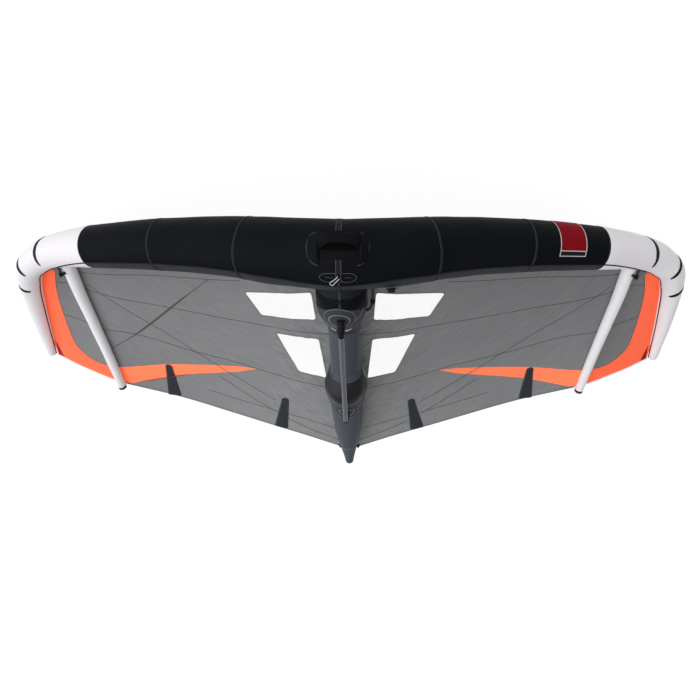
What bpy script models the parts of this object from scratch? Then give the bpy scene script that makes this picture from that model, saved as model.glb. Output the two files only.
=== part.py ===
"""Foil wing (hand-held inflatable wing), lying on its back: struts and handles up.

Metres, +Z up. X runs along the span, Y from the leading edge to the trailing edge.
The wing is drawn with the nose of its leading edge at y = 0 and is then moved so that
the origin lies on the ground under the middle of its outline.
"""
from math import acos, ceil, cos, floor, pi, radians, sin

import bmesh
import bpy
from mathutils import Matrix, Vector
from mathutils.bvhtree import BVHTree
from mathutils.geometry import delaunay_2d_cdt

# Driving dimensions
half_span = 2.0
wing_length = 2.28
leading_edge_radius = 0.174
nose_lift = 0.388
tip_setback = 1.526
canopy_height = 0.60
strut_radius = 0.0845
side_strut_radius = 0.041
sleeve_wall = 0.0014
bladder_wall = 0.0008
cloth_thickness = 0.0012
fit_gap = 0.0003
seat_gap = 0.0006
ring_sides = 20
slim_sides = 12
cloth_pitch = 0.17
camber_depth = 0.055

# Leading edge, centre to tip: place along the span, sweep, lift off the ground, radius
leading_edge_shares = (
    (0.0, 0.0, 1.0, 1.0),
    (0.158, 0.0127, 0.918, 0.956),
    (0.247, 0.038, 0.799, 0.889),
    (0.353, 0.076, 0.667, 0.828),
    (0.493, 0.130, 0.505, 0.767),
    (0.615, 0.187, 0.371, 0.700),
    (0.686, 0.2215, 0.294, 0.656),
    (0.782, 0.291, 0.149, 0.572),
    (0.867, 0.373, 0.0, 0.517),
    (0.937, 0.463, 0.0, 0.439),
    (0.9685, 0.608, 0.0, 0.350),
    (0.9805, 0.804, 0.137, 0.256),
    (0.9805, 1.0, 0.338, 0.156),
)
panel_seam_station = 2
colour_seam_station = 6
tip_end_station = 12

# Trailing edge, centre to tip: place along the span, along the length, height
trailing_edge_shares = (
    (0.0, 0.945, 0.998),
    (0.222, 0.868, 0.893),
    (0.57, 0.7965, 0.652),
    (0.734, 0.763, 0.580),
    (0.87, 0.750, 0.418),
    (0.9665, 0.7456, 0.258),
)
# For each leading edge station, where its rib meets the trailing edge table
rib_end_shares = (0.0, 0.142, 0.222, 0.33, 0.47, 0.59, 0.67, 0.77, 0.85, 0.91, 0.94, 0.958, 0.9665)

# Centre strut, front to back: place along the length, radius over the waist radius
strut_shares = (
    (0.120, 1.20),
    (0.168, 1.54),
    (0.200, 1.56),
    (0.232, 1.49),
    (0.272, 1.25),
    (0.314, 1.02),
    (0.360, 1.0),
    (0.494, 1.0),
    (0.520, 1.28),
    (0.551, 1.455),
    (0.602, 1.34),
    (0.6355, 1.18),
    (0.784, 0.97),
    (0.901, 0.57),
    (0.953, 0.38),
    (0.985, 0.28),
    (1.0, 0.12),
)


def clear_scene():
    for old in list(bpy.data.objects):
        bpy.data.objects.remove(old, do_unlink=True)


def lerp(a, b, share):
    return a + (b - a) * share


def table_at(rows, x, column):
    """Smooth value of one column of a table at x, with no overshoot between rows."""
    xs = [row[0] for row in rows]
    ys = [row[column] for row in rows]
    return smooth_at(xs, ys, x)


def smooth_at(xs, ys, x):
    count = len(xs)
    if x <= xs[0]:
        return ys[0]
    if x >= xs[-1]:
        return ys[-1]
    slopes = [(ys[i + 1] - ys[i]) / (xs[i + 1] - xs[i]) for i in range(count - 1)]
    tangents = [slopes[0]]
    for i in range(1, count - 1):
        before, after = slopes[i - 1], slopes[i]
        if before * after <= 0:
            tangents.append(0.0)
        else:
            tangents.append(2 * before * after / (before + after))
    tangents.append(slopes[-1])
    i = max(k for k in range(count - 1) if xs[k] <= x)
    width = xs[i + 1] - xs[i]
    t = (x - xs[i]) / width
    rise = t * t * (3 - 2 * t)
    return (ys[i] * (1 - rise) + ys[i + 1] * rise
            + width * tangents[i] * (t ** 3 - 2 * t * t + t)
            + width * tangents[i + 1] * (t ** 3 - t * t))


class Tube:
    """A swept tube of straight, faceted lengths: points at station s, angle and lift."""

    def __init__(self, centres, radii, sides, mirrored_start=False, upright=False):
        self.centres = centres
        self.radii = radii
        self.sides = sides
        self.frames = []
        last = len(centres) - 1
        for i in range(last + 1):
            along = centres[min(i + 1, last)] - centres[max(i - 1, 0)]
            if i == 0 and mirrored_start:
                along = Vector((1, 0, 0))
            if upright:
                along.z = 0.0
            along.normalize()
            out = Vector((along.y, -along.x, 0)).normalized()
            self.frames.append((out, out.cross(along)))

    def ring_point(self, i, angle, lift):
        """Angle 0 faces forward or outboard, 90 degrees up; facets follow the tube's sides."""
        out, up = self.frames[i]
        step = 2 * pi / self.sides
        offset = (angle % step) - step / 2
        reach = (self.radii[i] + lift) * cos(step / 2) / cos(offset)
        return self.centres[i] + out * (reach * cos(angle)) + up * (reach * sin(angle))

    def point(self, s, angle, lift=0.0):
        i = min(int(floor(s)), len(self.centres) - 2)
        return self.ring_point(i, angle, lift).lerp(self.ring_point(i + 1, angle, lift), s - i)

    def ring(self, s, lift=0.0):
        step = 2 * pi / self.sides
        return [self.point(s, k * step, lift) for k in range(self.sides)]


def mirrored(point, side):
    return Vector((point.x * side, point.y, point.z))


def leading_edge_tube():
    centres, radii = [], []
    for span, sweep, lift, size in leading_edge_shares:
        radius = leading_edge_radius * size
        centres.append(Vector((half_span * span, leading_edge_radius + tip_setback * sweep,
                               radius + nose_lift * lift)))
        radii.append(radius)
    return Tube(centres, radii, ring_sides, mirrored_start=True)


edge = leading_edge_tube()


def edge_station(x):
    """Leading edge station at a place along the span."""
    i = max(k for k in range(len(edge.centres) - 1) if edge.centres[k].x <= x)
    return i + (x - edge.centres[i].x) / (edge.centres[i + 1].x - edge.centres[i].x)


def stations(start, end):
    """Station values from start to end, with every whole ring between them."""
    inner = [float(k) for k in range(int(floor(start)) + 1, int(ceil(end)))]
    return [start] + inner + [end]


def angles(start, end, sides):
    """Angles from start to end, with every facet edge between them."""
    step = 2 * pi / sides
    first = int(floor(start / step)) + 1
    last = int(ceil(end / step))
    return [start] + [k * step for k in range(first, last)] + [end]


attach_angle = radians(205)
attach_lift = 0.0015


def trailing_point(share):
    return Vector((half_span * share,
                   wing_length * table_at(trailing_edge_shares, share, 1),
                   canopy_height * table_at(trailing_edge_shares, share, 2)))


def canopy_grid():
    """Ribs from the leading edge to the trailing edge, each a little cambered toward the ground."""
    steps = 4
    rows = 12
    ribs = []
    for k in range(tip_end_station * steps + 1):
        s = k / steps
        front = edge.point(s, attach_angle, 0.0)
        share = smooth_at(list(range(tip_end_station + 1)), list(rib_end_shares), s)
        back = trailing_point(share)
        depth = camber_depth * (back - front).length / wing_length
        rib = []
        for j in range(-1, rows + 2):
            t = j / rows
            place = front.lerp(back, t)
            sag = 4 * t * (1 - t)
            place.z -= depth * sag
            rib.append(place)
        ribs.append(rib)
    return ribs


def canopy_tree():
    ribs = canopy_grid()
    rows = len(ribs[0])
    verts, faces = [], []
    for side in (-1, 1):
        start = len(verts)
        for rib in ribs:
            verts.extend(mirrored(p, side) for p in rib)
        for i in range(len(ribs) - 1):
            for j in range(rows - 1):
                a = start + i * rows + j
                faces.append((a, a + 1, a + rows + 1, a + rows))
    return BVHTree.FromPolygons(verts, faces)


cloth = canopy_tree()

# Colour, roughness, metallic value
finishes = {
    "black_sleeve": ((0.012, 0.013, 0.017), 0.55, 0.0),
    "white_sleeve": ((0.80, 0.79, 0.81), 0.5, 0.0),
    "bladder_film": ((0.55, 0.56, 0.58), 0.35, 0.0),
    "slate_sleeve": ((0.060, 0.068, 0.080), 0.6, 0.0),
    "canopy_ripstop": ((0.20, 0.20, 0.21), 0.45, 0.0),
    "window_film": ((0.86, 0.88, 0.90), 0.15, 0.0),
    "orange_ripstop": ((0.95, 0.11, 0.035), 0.5, 0.0),
    "red_label": ((0.20, 0.004, 0.006), 0.6, 0.0),
    "black_webbing": ((0.010, 0.010, 0.011), 0.8, 0.0),
    "black_rubber": ((0.012, 0.012, 0.012), 0.7, 0.0),
    "black_plastic": ((0.015, 0.015, 0.016), 0.4, 0.0),
    "grey_plastic": ((0.42, 0.43, 0.45), 0.35, 0.0),
    "white_cord": ((0.7, 0.7, 0.7), 0.7, 0.0),
    "boom_metal": ((0.40, 0.41, 0.43), 0.35, 0.6),
    "batten_rod": ((0.05, 0.05, 0.055), 0.4, 0.0),
}


def material(name):
    made = bpy.data.materials.get(name)
    if made:
        return made
    colour, roughness, metallic = finishes[name]
    made = bpy.data.materials.new(name)
    made.use_nodes = True
    surface = made.node_tree.nodes["Principled BSDF"]
    surface.inputs["Base Color"].default_value = (*colour, 1.0)
    surface.inputs["Roughness"].default_value = roughness
    surface.inputs["Metallic"].default_value = metallic
    made.diffuse_color = (*colour, 1.0)
    return made


def add_part(name, bm, finish, smooth=True, pivot=None):
    """Make the object from a mesh in the wing's own places; pivot becomes its origin."""
    bmesh.ops.recalc_face_normals(bm, faces=bm.faces)
    if pivot is not None:
        bmesh.ops.translate(bm, vec=-pivot, verts=bm.verts)
    mesh = bpy.data.meshes.new(name)
    bm.to_mesh(mesh)
    bm.free()
    if smooth:
        mesh.shade_smooth()
        mesh.set_sharp_from_angle(angle=radians(40))
    mesh.materials.append(material(finish))
    made = bpy.data.objects.new(name, mesh)
    bpy.context.collection.objects.link(made)
    made.parent = bpy.data.objects["wing"]
    if pivot is not None:
        made.location = pivot
    return made


def add_rings(bm, rings):
    return [[bm.verts.new(p) for p in ring] for ring in rings]


def outward(ring):
    return sum(abs(v.co.x) + v.co.y for v in ring)


def skin(bm, rings):
    """Triangles between rings, divided alike on every skin that follows a tube."""
    for a, b in zip(rings, rings[1:]):
        near, far = (a, b) if outward(a) < outward(b) else (b, a)
        count = len(a)
        for k in range(count):
            n = (k + 1) % count
            bm.faces.new((near[k], near[n], far[n]))
            bm.faces.new((near[k], far[n], far[k]))


def fan(bm, ring, centre):
    tip = bm.verts.new(centre)
    for k in range(len(ring)):
        bm.faces.new((ring[k], ring[(k + 1) % len(ring)], tip))


def centroid(ring):
    total = Vector((0, 0, 0))
    for p in ring:
        total += p
    return total / len(ring)


def solid(bm, rings, end_middle=None):
    """Closed body along rings, each end filled from its middle."""
    made = add_rings(bm, rings)
    skin(bm, made)
    fan(bm, made[0], centroid(rings[0]))
    fan(bm, made[-1], end_middle or centroid(rings[-1]))


def shell(bm, outer, inner, cap_start=False, cap_end=False):
    """Thin wall between two skins, open at each end that is not capped."""
    outside, inside = add_rings(bm, outer), add_rings(bm, inner)
    skin(bm, outside)
    skin(bm, inside)
    for capped, i in ((cap_start, 0), (cap_end, -1)):
        if capped:
            fan(bm, outside[i], centroid(outer[i]))
            fan(bm, inside[i], centroid(inner[i]))
        else:
            skin(bm, [outside[i], inside[i]])


def tube_length(tube, s):
    i = max(0, min(int(ceil(s)) - 1, len(tube.centres) - 2))
    return (tube.centres[i + 1] - tube.centres[i]).length


def station_after(tube, s, distance):
    i = min(int(floor(s)), len(tube.centres) - 2)
    return s + distance / (tube.centres[i + 1] - tube.centres[i]).length


def radius_at(tube, s):
    return lerp(tube.radii[int(floor(s))], tube.radii[int(ceil(s))], s - floor(s))


def film_rings(tube, places, lift, wall):
    """Outer and inner rings of a film whose last end is capped."""
    inner_places = places[:-1] + [places[-1] - 2 * wall / tube_length(tube, places[-1])]
    outer = [tube.ring(s, lift) for s in places]
    inner = [tube.ring(s, lift - wall) for s in inner_places]
    return outer, inner


def add_edge_sleeves():
    """The leading edge cloth: a centre sleeve, a black and a white sleeve on each side."""
    seam, colour, tip = panel_seam_station, colour_seam_station, tip_end_station
    right = [edge.ring(float(s)) for s in range(seam + 1)]
    right_in = [edge.ring(float(s), -sleeve_wall) for s in range(seam + 1)]

    def whole(half):
        left = [[mirrored(p, -1) for p in ring] for ring in half[:0:-1]]
        return left + half

    bm = bmesh.new()
    shell(bm, whole(right), whole(right_in))
    add_part("leading_edge_centre", bm, "black_sleeve")
    for side, word in ((-1, "left"), (1, "right")):
        for name, first, last, finish in (("leading_edge", seam, colour, "black_sleeve"),
                                          ("tip_sleeve", colour, tip, "white_sleeve")):
            closed = last == tip
            places = stations(station_after(edge, float(first), seat_gap), float(last))
            inner_places = list(places)
            if closed:
                inner_places[-1] = last - sleeve_wall / tube_length(edge, float(last))
            outer = [[mirrored(p, side) for p in edge.ring(s)] for s in places]
            inner = [[mirrored(p, side) for p in edge.ring(s, -sleeve_wall)] for s in inner_places]
            bm = bmesh.new()
            shell(bm, outer, inner, cap_end=closed)
            add_part(f"{name}_{word}", bm, finish)


def nozzle_rings(tube, s, wall, mouth):
    """Both skins of a bladder's filling nozzle, at its small open mouth."""
    radius = radius_at(tube, s)
    return tube.ring(s, mouth - radius), tube.ring(s, mouth - wall - radius)


def add_edge_bladder():
    lift = -(sleeve_wall + seat_gap)
    setback = 0.05
    mouth = 0.006
    length = tube_length(edge, float(tip_end_station))
    places = stations(0.0, tip_end_station - setback / length)[1:]
    half, half_in = film_rings(edge, places, lift, bladder_wall)
    open_in = [edge.ring(s, lift - bladder_wall) for s in places]
    mouths = nozzle_rings(edge, tip_end_station - setback / 2 / length, bladder_wall, mouth)
    left = [[mirrored(p, -1) for p in ring] for ring in [mouths[0]] + half[::-1]]
    left_in = [[mirrored(p, -1) for p in ring] for ring in [mouths[1]] + open_in[::-1]]
    middle, middle_in = edge.ring(0.0, lift), edge.ring(0.0, lift - bladder_wall)
    bm = bmesh.new()
    shell(bm, left + [middle] + half, left_in + [middle_in] + half_in, cap_end=True)
    add_part("leading_edge_bladder", bm, "bladder_film")


# Piping round the leading edge: station, angle in degrees
piping_places = ((0, 90), (2, 90), (4, 90), (6, 88), (7, 103), (8, 130), (9, 155), (10, 166),
                 (11, 172), (12, 172))
piping_radius = 0.0025
piping_seat = 0.0009
piping_sides = 6


def piping_angle(s):
    return radians(smooth_at([row[0] for row in piping_places], [row[1] for row in piping_places], s))


def path_rings(points, radii, sides, up=Vector((0, 0, 1))):
    """Round rings along a path, with radii for each point and no twist."""
    rings = []
    for i, p in enumerate(points):
        along = (points[min(i + 1, len(points) - 1)] - points[max(i - 1, 0)]).normalized()
        across = along.cross(up).normalized()
        rise = across.cross(along)
        ring = []
        for k in range(sides):
            a = 2 * pi * k / sides
            ring.append(p + across * (radii[i] * cos(a)) + rise * (radii[i] * sin(a)))
        rings.append(ring)
    return rings


def add_piping():
    runs = ((0, colour_seam_station, 2), (colour_seam_station, 10, 6), (10, tip_end_station, 4))
    places = [first + k / steps for first, last, steps in runs for k in range((last - first) * steps)]
    places.append(float(tip_end_station))
    lift = piping_radius + piping_seat
    for side, word in ((-1, "left"), (1, "right")):
        points = [mirrored(edge.point(s, piping_angle(s), lift), side) for s in places]
        points[0].x = side * seat_gap
        bm = bmesh.new()
        solid(bm, path_rings(points, [piping_radius] * len(points), piping_sides))
        add_part(f"piping_{word}", bm, "black_webbing")


def on_cloth(x, y, lift=0.0):
    """Point over the canopy at x, y, lifted along the cloth's upward normal."""
    high = Vector((x, y, canopy_height * 2))
    place, normal, _, _ = cloth.ray_cast(high, Vector((0, 0, -1)))
    if place is None:
        z = canopy_height / 2
        for _ in range(8):
            place, normal, _, _ = cloth.find_nearest(Vector((x, y, z)))
            z = place.z
    if normal.z < 0:
        normal = -normal
    return place + normal * lift


def strut_tube():
    centres, radii = [], []
    for length, size in strut_shares:
        radius = strut_radius * size
        y = wing_length * length
        floor_z = on_cloth(0.0, y).z
        centres.append(Vector((0, y, floor_z + radius + strut_seat)))
        radii.append(radius)
    return Tube(centres, radii, ring_sides, upright=True)


strut_seat = 0.0016
strut = strut_tube()
strut_parts = (
    ("strut_collar", 0, 3, "black_sleeve"),
    ("strut_funnel", 3, 6, "slate_sleeve"),
    ("strut_waist", 6, 7, "slate_sleeve"),
    ("strut_bulge", 7, 10, "black_sleeve"),
    ("strut_tail", 10, 14, "slate_sleeve"),
)


def cut_at_edge(target):
    """Trim a strut's front end to the leading edge it is sewn to."""
    name = "cutter_leading_edge"
    if name not in bpy.data.objects:
        half = [edge.ring(float(s), seat_gap * 2) for s in range(tip_end_station + 1)]
        bm = bmesh.new()
        solid(bm, [[mirrored(p, -1) for p in ring] for ring in half[:0:-1]] + half)
        tool = add_part(name, bm, "black_sleeve")
        tool.hide_render = True
        tool.display_type = "WIRE"
    cut = target.modifiers.new(name, "BOOLEAN")
    cut.operation = "DIFFERENCE"
    cut.solver = "EXACT"
    cut.object = bpy.data.objects[name]


def add_strut():
    for name, first, last, finish in strut_parts:
        start = float(first) if first == 0 else station_after(strut, float(first), seat_gap)
        places = stations(start, float(last))
        outer = [strut.ring(s) for s in places]
        inner = [strut.ring(s, -sleeve_wall) for s in places]
        bm = bmesh.new()
        shell(bm, outer, inner)
        made = add_part(name, bm, finish)
        if first == 0:
            cut_at_edge(made)
    bm = bmesh.new()
    solid(bm, [strut.ring(s) for s in stations(station_after(strut, 14.0, seat_gap), 16.0)])
    add_part("strut_end_cap", bm, "black_rubber")


def add_strut_bladder():
    lift = -(sleeve_wall + seat_gap)
    mouth = 0.006
    neck, start, end = 2.3, 2.8, 13.8
    places = stations(start, end)
    mouths = nozzle_rings(strut, neck, bladder_wall, mouth)
    outer, inner = film_rings(strut, places, lift, bladder_wall)
    bm = bmesh.new()
    shell(bm, [mouths[0]] + outer, [mouths[1]] + inner, cap_end=True)
    add_part("strut_bladder", bm, "bladder_film")


# Side strut, front to back: place along the span, along the length, radius share
side_strut_shares = (
    (0.811, 0.285, 0.96),
    (0.784, 0.450, 0.87),
    (0.771, 0.530, 0.80),
    (0.758, 0.610, 0.75),
    (0.745, 0.690, 0.70),
    (0.734, 0.762, 0.63),
)
side_strut_seat = 0.0012


def side_strut_tube():
    centres, radii = [], []
    for span, length, size in side_strut_shares:
        radius = side_strut_radius * size
        centres.append(on_cloth(half_span * span, wing_length * length, radius + side_strut_seat))
        radii.append(radius)
    return Tube(centres, radii, slim_sides)


side_strut = side_strut_tube()
side_strut_end = len(side_strut_shares) - 1


def add_side_struts():
    lift = -(sleeve_wall + seat_gap)
    mouth = 0.005
    cap_length, cap_lip = 0.02, 0.003
    last = float(side_strut_end)
    places = stations(0.0, last)
    neck, start, end = 0.5, 0.58, 4.85
    film, film_in = film_rings(side_strut, stations(start, end), lift, bladder_wall)
    film_mouth = nozzle_rings(side_strut, neck, bladder_wall, mouth)
    along = (side_strut.centres[-1] - side_strut.centres[-2]).normalized()
    for side, word in ((-1, "left"), (1, "right")):
        def turned(rings):
            return [[mirrored(p, side) for p in ring] for ring in rings]

        bm = bmesh.new()
        outer = [side_strut.ring(s) for s in places]
        inner = [side_strut.ring(s, -sleeve_wall) for s in places]
        shell(bm, turned(outer), turned(inner))
        cut_at_edge(add_part(f"side_strut_{word}", bm, "white_sleeve"))
        bm = bmesh.new()
        shell(bm, turned([film_mouth[0]] + film), turned([film_mouth[1]] + film_in), cap_end=True)
        add_part(f"side_strut_bladder_{word}", bm, "bladder_film")
        rim = side_strut.ring(last)
        bm = bmesh.new()
        rings = []
        for travel, shrink in ((seat_gap, 0.0), (cap_length - cap_lip, 0.0), (cap_length, cap_lip)):
            middle = side_strut.centres[-1]
            scale = 1 - shrink / side_strut.radii[-1]
            rings.append([middle + (p - middle) * scale + along * travel for p in rim])
        solid(bm, turned(rings))
        add_part(f"side_strut_cap_{word}", bm, "black_rubber")


# Outlines on the canopy, as places along the span and along the length
window_front_shares = ((0.274, 0.3136), (0.087, 0.2655), (0.0805, 0.372), (0.236, 0.391))
window_rear_shares = ((0.200, 0.4535), (0.0767, 0.4518), (0.062, 0.618), (0.1445, 0.601))
trim_inner_shares = ((0.869, 0.420), (0.884, 0.480), (0.889, 0.559), (0.883, 0.643), (0.8685, 0.680),
                     (0.827, 0.705), (0.782, 0.708))
wedge_root_span_share = 0.757
wedge_root_top_share = 0.708
wedge_top_shares = ((0.337, 0.6265),)
wedge_point_shares = (0.276, 0.621)
wedge_bottom_shares = ((0.340, 0.650),)
wedge_foot_share = 0.722
trim_station = 8.55
trim_end_station = 11.7
trim_end_span_share = 0.9615


def flat(shares):
    return [Vector((half_span * x, wing_length * y)) for x, y in shares]


def flat_point(p):
    return Vector((p.x, p.y))


def trailing_flat(share):
    return flat_point(trailing_point(share))


def edge_run(start, end):
    """Plan of the cloth's front border between two leading edge stations."""
    steps = 2
    count = max(1, int(round((end - start) * steps)))
    return [flat_point(edge.point(lerp(start, end, k / count), attach_angle, attach_lift))
            for k in range(count + 1)]


def trailing_run(start, end):
    count = max(1, int(ceil(abs(end - start) * half_span / cloth_pitch)))
    return [trailing_flat(lerp(start, end, k / count)) for k in range(count + 1)]


def closed_runs(points):
    return list(zip(points, points[1:] + points[:1]))


def signed_area(points):
    return sum(a.x * b.y - b.x * a.y for a, b in closed_runs(points)) / 2


def inset(points, gap):
    """The outline moved inward by gap on every side."""
    turn = 1 if signed_area(points) > 0 else -1
    count = len(points)
    moved = []
    for i in range(count):
        before = (points[i] - points[i - 1]).normalized()
        after = (points[(i + 1) % count] - points[i]).normalized()
        normal_a = Vector((-before.y, before.x)) * turn
        normal_b = Vector((-after.y, after.x)) * turn
        middle = (normal_a + normal_b).normalized()
        moved.append(points[i] + middle * (gap / max(middle.dot(normal_a), 0.3)))
    return moved


def split_long(points, pitch):
    """The outline with its long sides divided."""
    out = []
    for a, b in closed_runs(points):
        count = max(1, int(ceil((b - a).length / pitch)))
        out.extend(a.lerp(b, k / count) for k in range(count))
    return out


def inside(p, points):
    found = False
    for a, b in closed_runs(points):
        if (a.y > p.y) != (b.y > p.y) and p.x < (b.x - a.x) * (p.y - a.y) / (b.y - a.y) + a.x:
            found = not found
    return found


def near_run(p, points, reach):
    for a, b in closed_runs(points):
        run = b - a
        t = max(0.0, min(1.0, (p - a).dot(run) / run.length_squared))
        if (a + run * t - p).length < reach:
            return True
    return False


def cloth_panel(bm, outline, holes, side, creases=(), pitch=cloth_pitch):
    """A flat pattern laid on the canopy's curve: outline, holes and creases in plan."""
    outline = split_long(outline, pitch)
    holes = [split_long(hole, pitch) for hole in holes]
    points, runs = [], []
    for loop in [outline] + holes:
        start = len(points)
        points.extend(loop)
        runs.extend((start + k, start + (k + 1) % len(loop)) for k in range(len(loop)))
    for crease in creases:
        start = len(points)
        points.extend(crease)
        runs.extend((start + k, start + k + 1) for k in range(len(crease) - 1))
    lows = [min(p[k] for p in outline) for k in (0, 1)]
    highs = [max(p[k] for p in outline) for k in (0, 1)]
    rows = int((highs[1] - lows[1]) / pitch) + 1
    columns = int((highs[0] - lows[0]) / pitch) + 1
    for j in range(rows):
        for i in range(columns):
            stagger = 0.5 if j % 2 else 0.0
            p = Vector((lows[0] + (i + stagger) * pitch, lows[1] + (j + 0.5) * pitch))
            clear = pitch * 0.45
            if inside(p, outline) and not any(inside(p, hole) for hole in holes):
                if not any(near_run(p, loop, clear) for loop in [outline] + holes + list(creases)):
                    points.append(p)
    flat_verts, _, faces, _, _, _ = delaunay_2d_cdt(points, runs, [], 0, fit_gap / 10)
    kept = []
    for face in faces:
        corners = [flat_verts[i] for i in face]
        middle = sum(corners, Vector((0, 0))) / len(corners)
        if abs(signed_area(corners)) < fit_gap ** 2:
            continue
        if inside(middle, outline) and not any(inside(middle, hole) for hole in holes):
            kept.append(face)
    used = sorted({i for face in kept for i in face})
    tops, bottoms = {}, {}
    for i in used:
        p = flat_verts[i]
        z = on_cloth(p.x, p.y).z
        tops[i] = bm.verts.new((p.x * side, p.y, z))
        bottoms[i] = bm.verts.new((p.x * side, p.y, z - cloth_thickness))
    borders = {}
    for face in kept:
        bm.faces.new([tops[i] for i in face])
        bm.faces.new([bottoms[i] for i in reversed(face)])
        for a, b in zip(face, list(face[1:]) + [face[0]]):
            if (b, a) in borders:
                del borders[(b, a)]
            else:
                borders[(a, b)] = True
    for a, b in borders:
        bm.faces.new((tops[b], tops[a], bottoms[a], bottoms[b]))


def canopy_outline():
    """Half the grey canopy in plan, round the orange trim and the wedge."""
    front = edge_run(0.0, trim_station)
    front[0].x = 0.0
    root = [Vector((half_span * wedge_root_span_share, wing_length * wedge_root_top_share))]
    wedge = flat(wedge_top_shares) + flat((wedge_point_shares,)) + flat(wedge_bottom_shares)
    back = trailing_run(wedge_foot_share, 0.0)
    return front + flat(trim_inner_shares) + root + wedge + back


def trim_outline():
    front = edge_run(trim_station, trim_end_station)
    back = trailing_run(trim_end_span_share, wedge_root_span_share)
    root = [Vector((half_span * wedge_root_span_share, wing_length * wedge_root_top_share))]
    return front + back + root + flat(trim_inner_shares)[::-1]


def wedge_outline():
    root = Vector((half_span * wedge_root_span_share, wing_length * wedge_root_top_share))
    foot = trailing_run(wedge_root_span_share, wedge_foot_share)
    wedge = flat(wedge_bottom_shares)[::-1] + flat((wedge_point_shares,)) + flat(wedge_top_shares)[::-1]
    return [root] + foot + wedge


# Batten pockets: top and foot in plan, as places along the span and along the length
batten_places = (
    ("outer", (0.568, 0.672), (0.5693, 0.7935)),
    ("inner", (0.197, 0.730), (0.2225, 0.8635)),
)
pocket_seat = 0.0008
pocket_height = 0.0042
pocket_wall = 0.001
batten_width = 0.014
batten_thickness = 0.0022
pocket_top_width = 0.04
pocket_foot_width = 0.088
pocket_tip_width_share = 0.72
batten_steps = 5


def batten_run(top, foot, start, end, steps):
    a = Vector((half_span * top[0], wing_length * top[1]))
    b = Vector((half_span * foot[0], wing_length * foot[1]))
    return [a.lerp(b, lerp(start, end, k / steps)) for k in range(steps + 1)]


def pocket_rows(top, foot):
    """Middle line of a pocket in plan, with its half width at each row."""
    round_share = 0.12
    run = batten_run(top, foot, 0.0, 1.0, batten_steps)
    run.insert(1, run[0].lerp(run[1], round_share))
    across = batten_across(run)
    rows = []
    for i, p in enumerate(run):
        share = (p - run[0]).length / (run[-1] - run[0]).length
        width = lerp(pocket_top_width, pocket_foot_width, share)
        rows.append((p, across, width * (pocket_tip_width_share if i == 0 else 1.0) / 2))
    return rows


def batten_across(run):
    along = (run[-1] - run[0]).normalized()
    return Vector((along.y, -along.x))


def batten_creases():
    """Lines in the cloth under the sides of the batten pockets."""
    lines = []
    for _, top, foot in batten_places:
        rows = pocket_rows(top, foot)
        for way in (-1, 1):
            lines.append([p + across * (half * way) for p, across, half in rows])
    return lines


def add_canopy():
    windows = (("front", flat(window_front_shares)), ("rear", flat(window_rear_shares)))
    half_gap = seat_gap / 2
    for side, word in ((-1, "left"), (1, "right")):
        holes = [inset(outline, -half_gap) for _, outline in windows]
        creases = batten_creases()
        for name, outline, gaps, finish in (
                ("canopy", canopy_outline(), holes, "canopy_ripstop"),
                ("tip_trim", trim_outline(), [], "orange_ripstop"),
                ("wedge_trim", wedge_outline(), [], "orange_ripstop")):
            bm = bmesh.new()
            cloth_panel(bm, inset(outline, half_gap), gaps, side, creases)
            add_part(f"{name}_{word}", bm, finish, smooth=False)
        for place, outline in windows:
            bm = bmesh.new()
            cloth_panel(bm, inset(outline, half_gap), [], side)
            add_part(f"window_{place}_{word}", bm, "window_film", smooth=False)


def add_battens():
    for word, top, foot in batten_places:
        for side, hand in ((-1, "left"), (1, "right")):
            rings = []
            for p, across, width in pocket_rows(top, foot):
                high, deep = pocket_height, pocket_height - pocket_wall
                profile = ((-width, 0), (-width, high), (width, high), (width, 0),
                           (width - pocket_wall, 0), (width - pocket_wall, deep),
                           (pocket_wall - width, deep), (pocket_wall - width, 0))
                rings.append(laid_profile(p, across, profile, pocket_seat, side))
            bm = bmesh.new()
            channel = add_rings(bm, rings)
            skin(bm, channel)
            bm.faces.new(channel[0])
            bm.faces.new(channel[-1])
            add_part(f"batten_pocket_{word}_{hand}", bm, "black_webbing", smooth=False)
            run = batten_run(top, foot, 0.05, 0.97, batten_steps)
            half = batten_width / 2
            profile = ((-half, 0), (-half, batten_thickness), (half, batten_thickness), (half, 0))
            seat = pocket_seat + fit_gap
            bm = bmesh.new()
            solid(bm, [laid_profile(p, batten_across(run), profile, seat, side) for p in run])
            add_part(f"batten_{word}_{hand}", bm, "batten_rod", smooth=False)


def laid_profile(p, across, profile, seat, side):
    """A flat section standing on the cloth across p: distance out and height."""
    ring = []
    for out, rise in profile:
        q = p + across * out
        ring.append(mirrored(on_cloth(q.x, q.y, seat + rise), side))
    return ring


# Boom over the strut
boom_lift = 0.0520
boom_radius = 0.0145
boom_front_length_share = 0.232
boom_rear_length_share = 0.611
boom_foot_front_share = 0.200
boom_foot_rear_share = 0.624
boom_foot_radius = 0.017
boom_knee_share = 0.6
boom_wall = 0.0018
foot_lift = 0.0045


def strut_top(length_share, lift):
    """Point on top of the centre strut."""
    y = wing_length * length_share
    ys = [c.y for c in strut.centres]
    i = max(k for k in range(len(ys) - 1) if ys[k] <= y)
    s = i + (y - ys[i]) / (ys[i + 1] - ys[i])
    return strut.point(s, radians(90), lift), s


def strut_foot(length_share, radius, lift):
    """A round foot laid on top of the centre strut, and its middle."""
    middle, _ = strut_top(length_share, lift)
    ring = []
    for k in range(slim_sides):
        a = 2 * pi * k / slim_sides
        _, s = strut_top(length_share - radius * cos(a) / wing_length, lift)
        ring.append(strut.point(s, acos(radius * sin(a) / (radius_at(strut, s) + lift)), lift))
    return ring, middle


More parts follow.
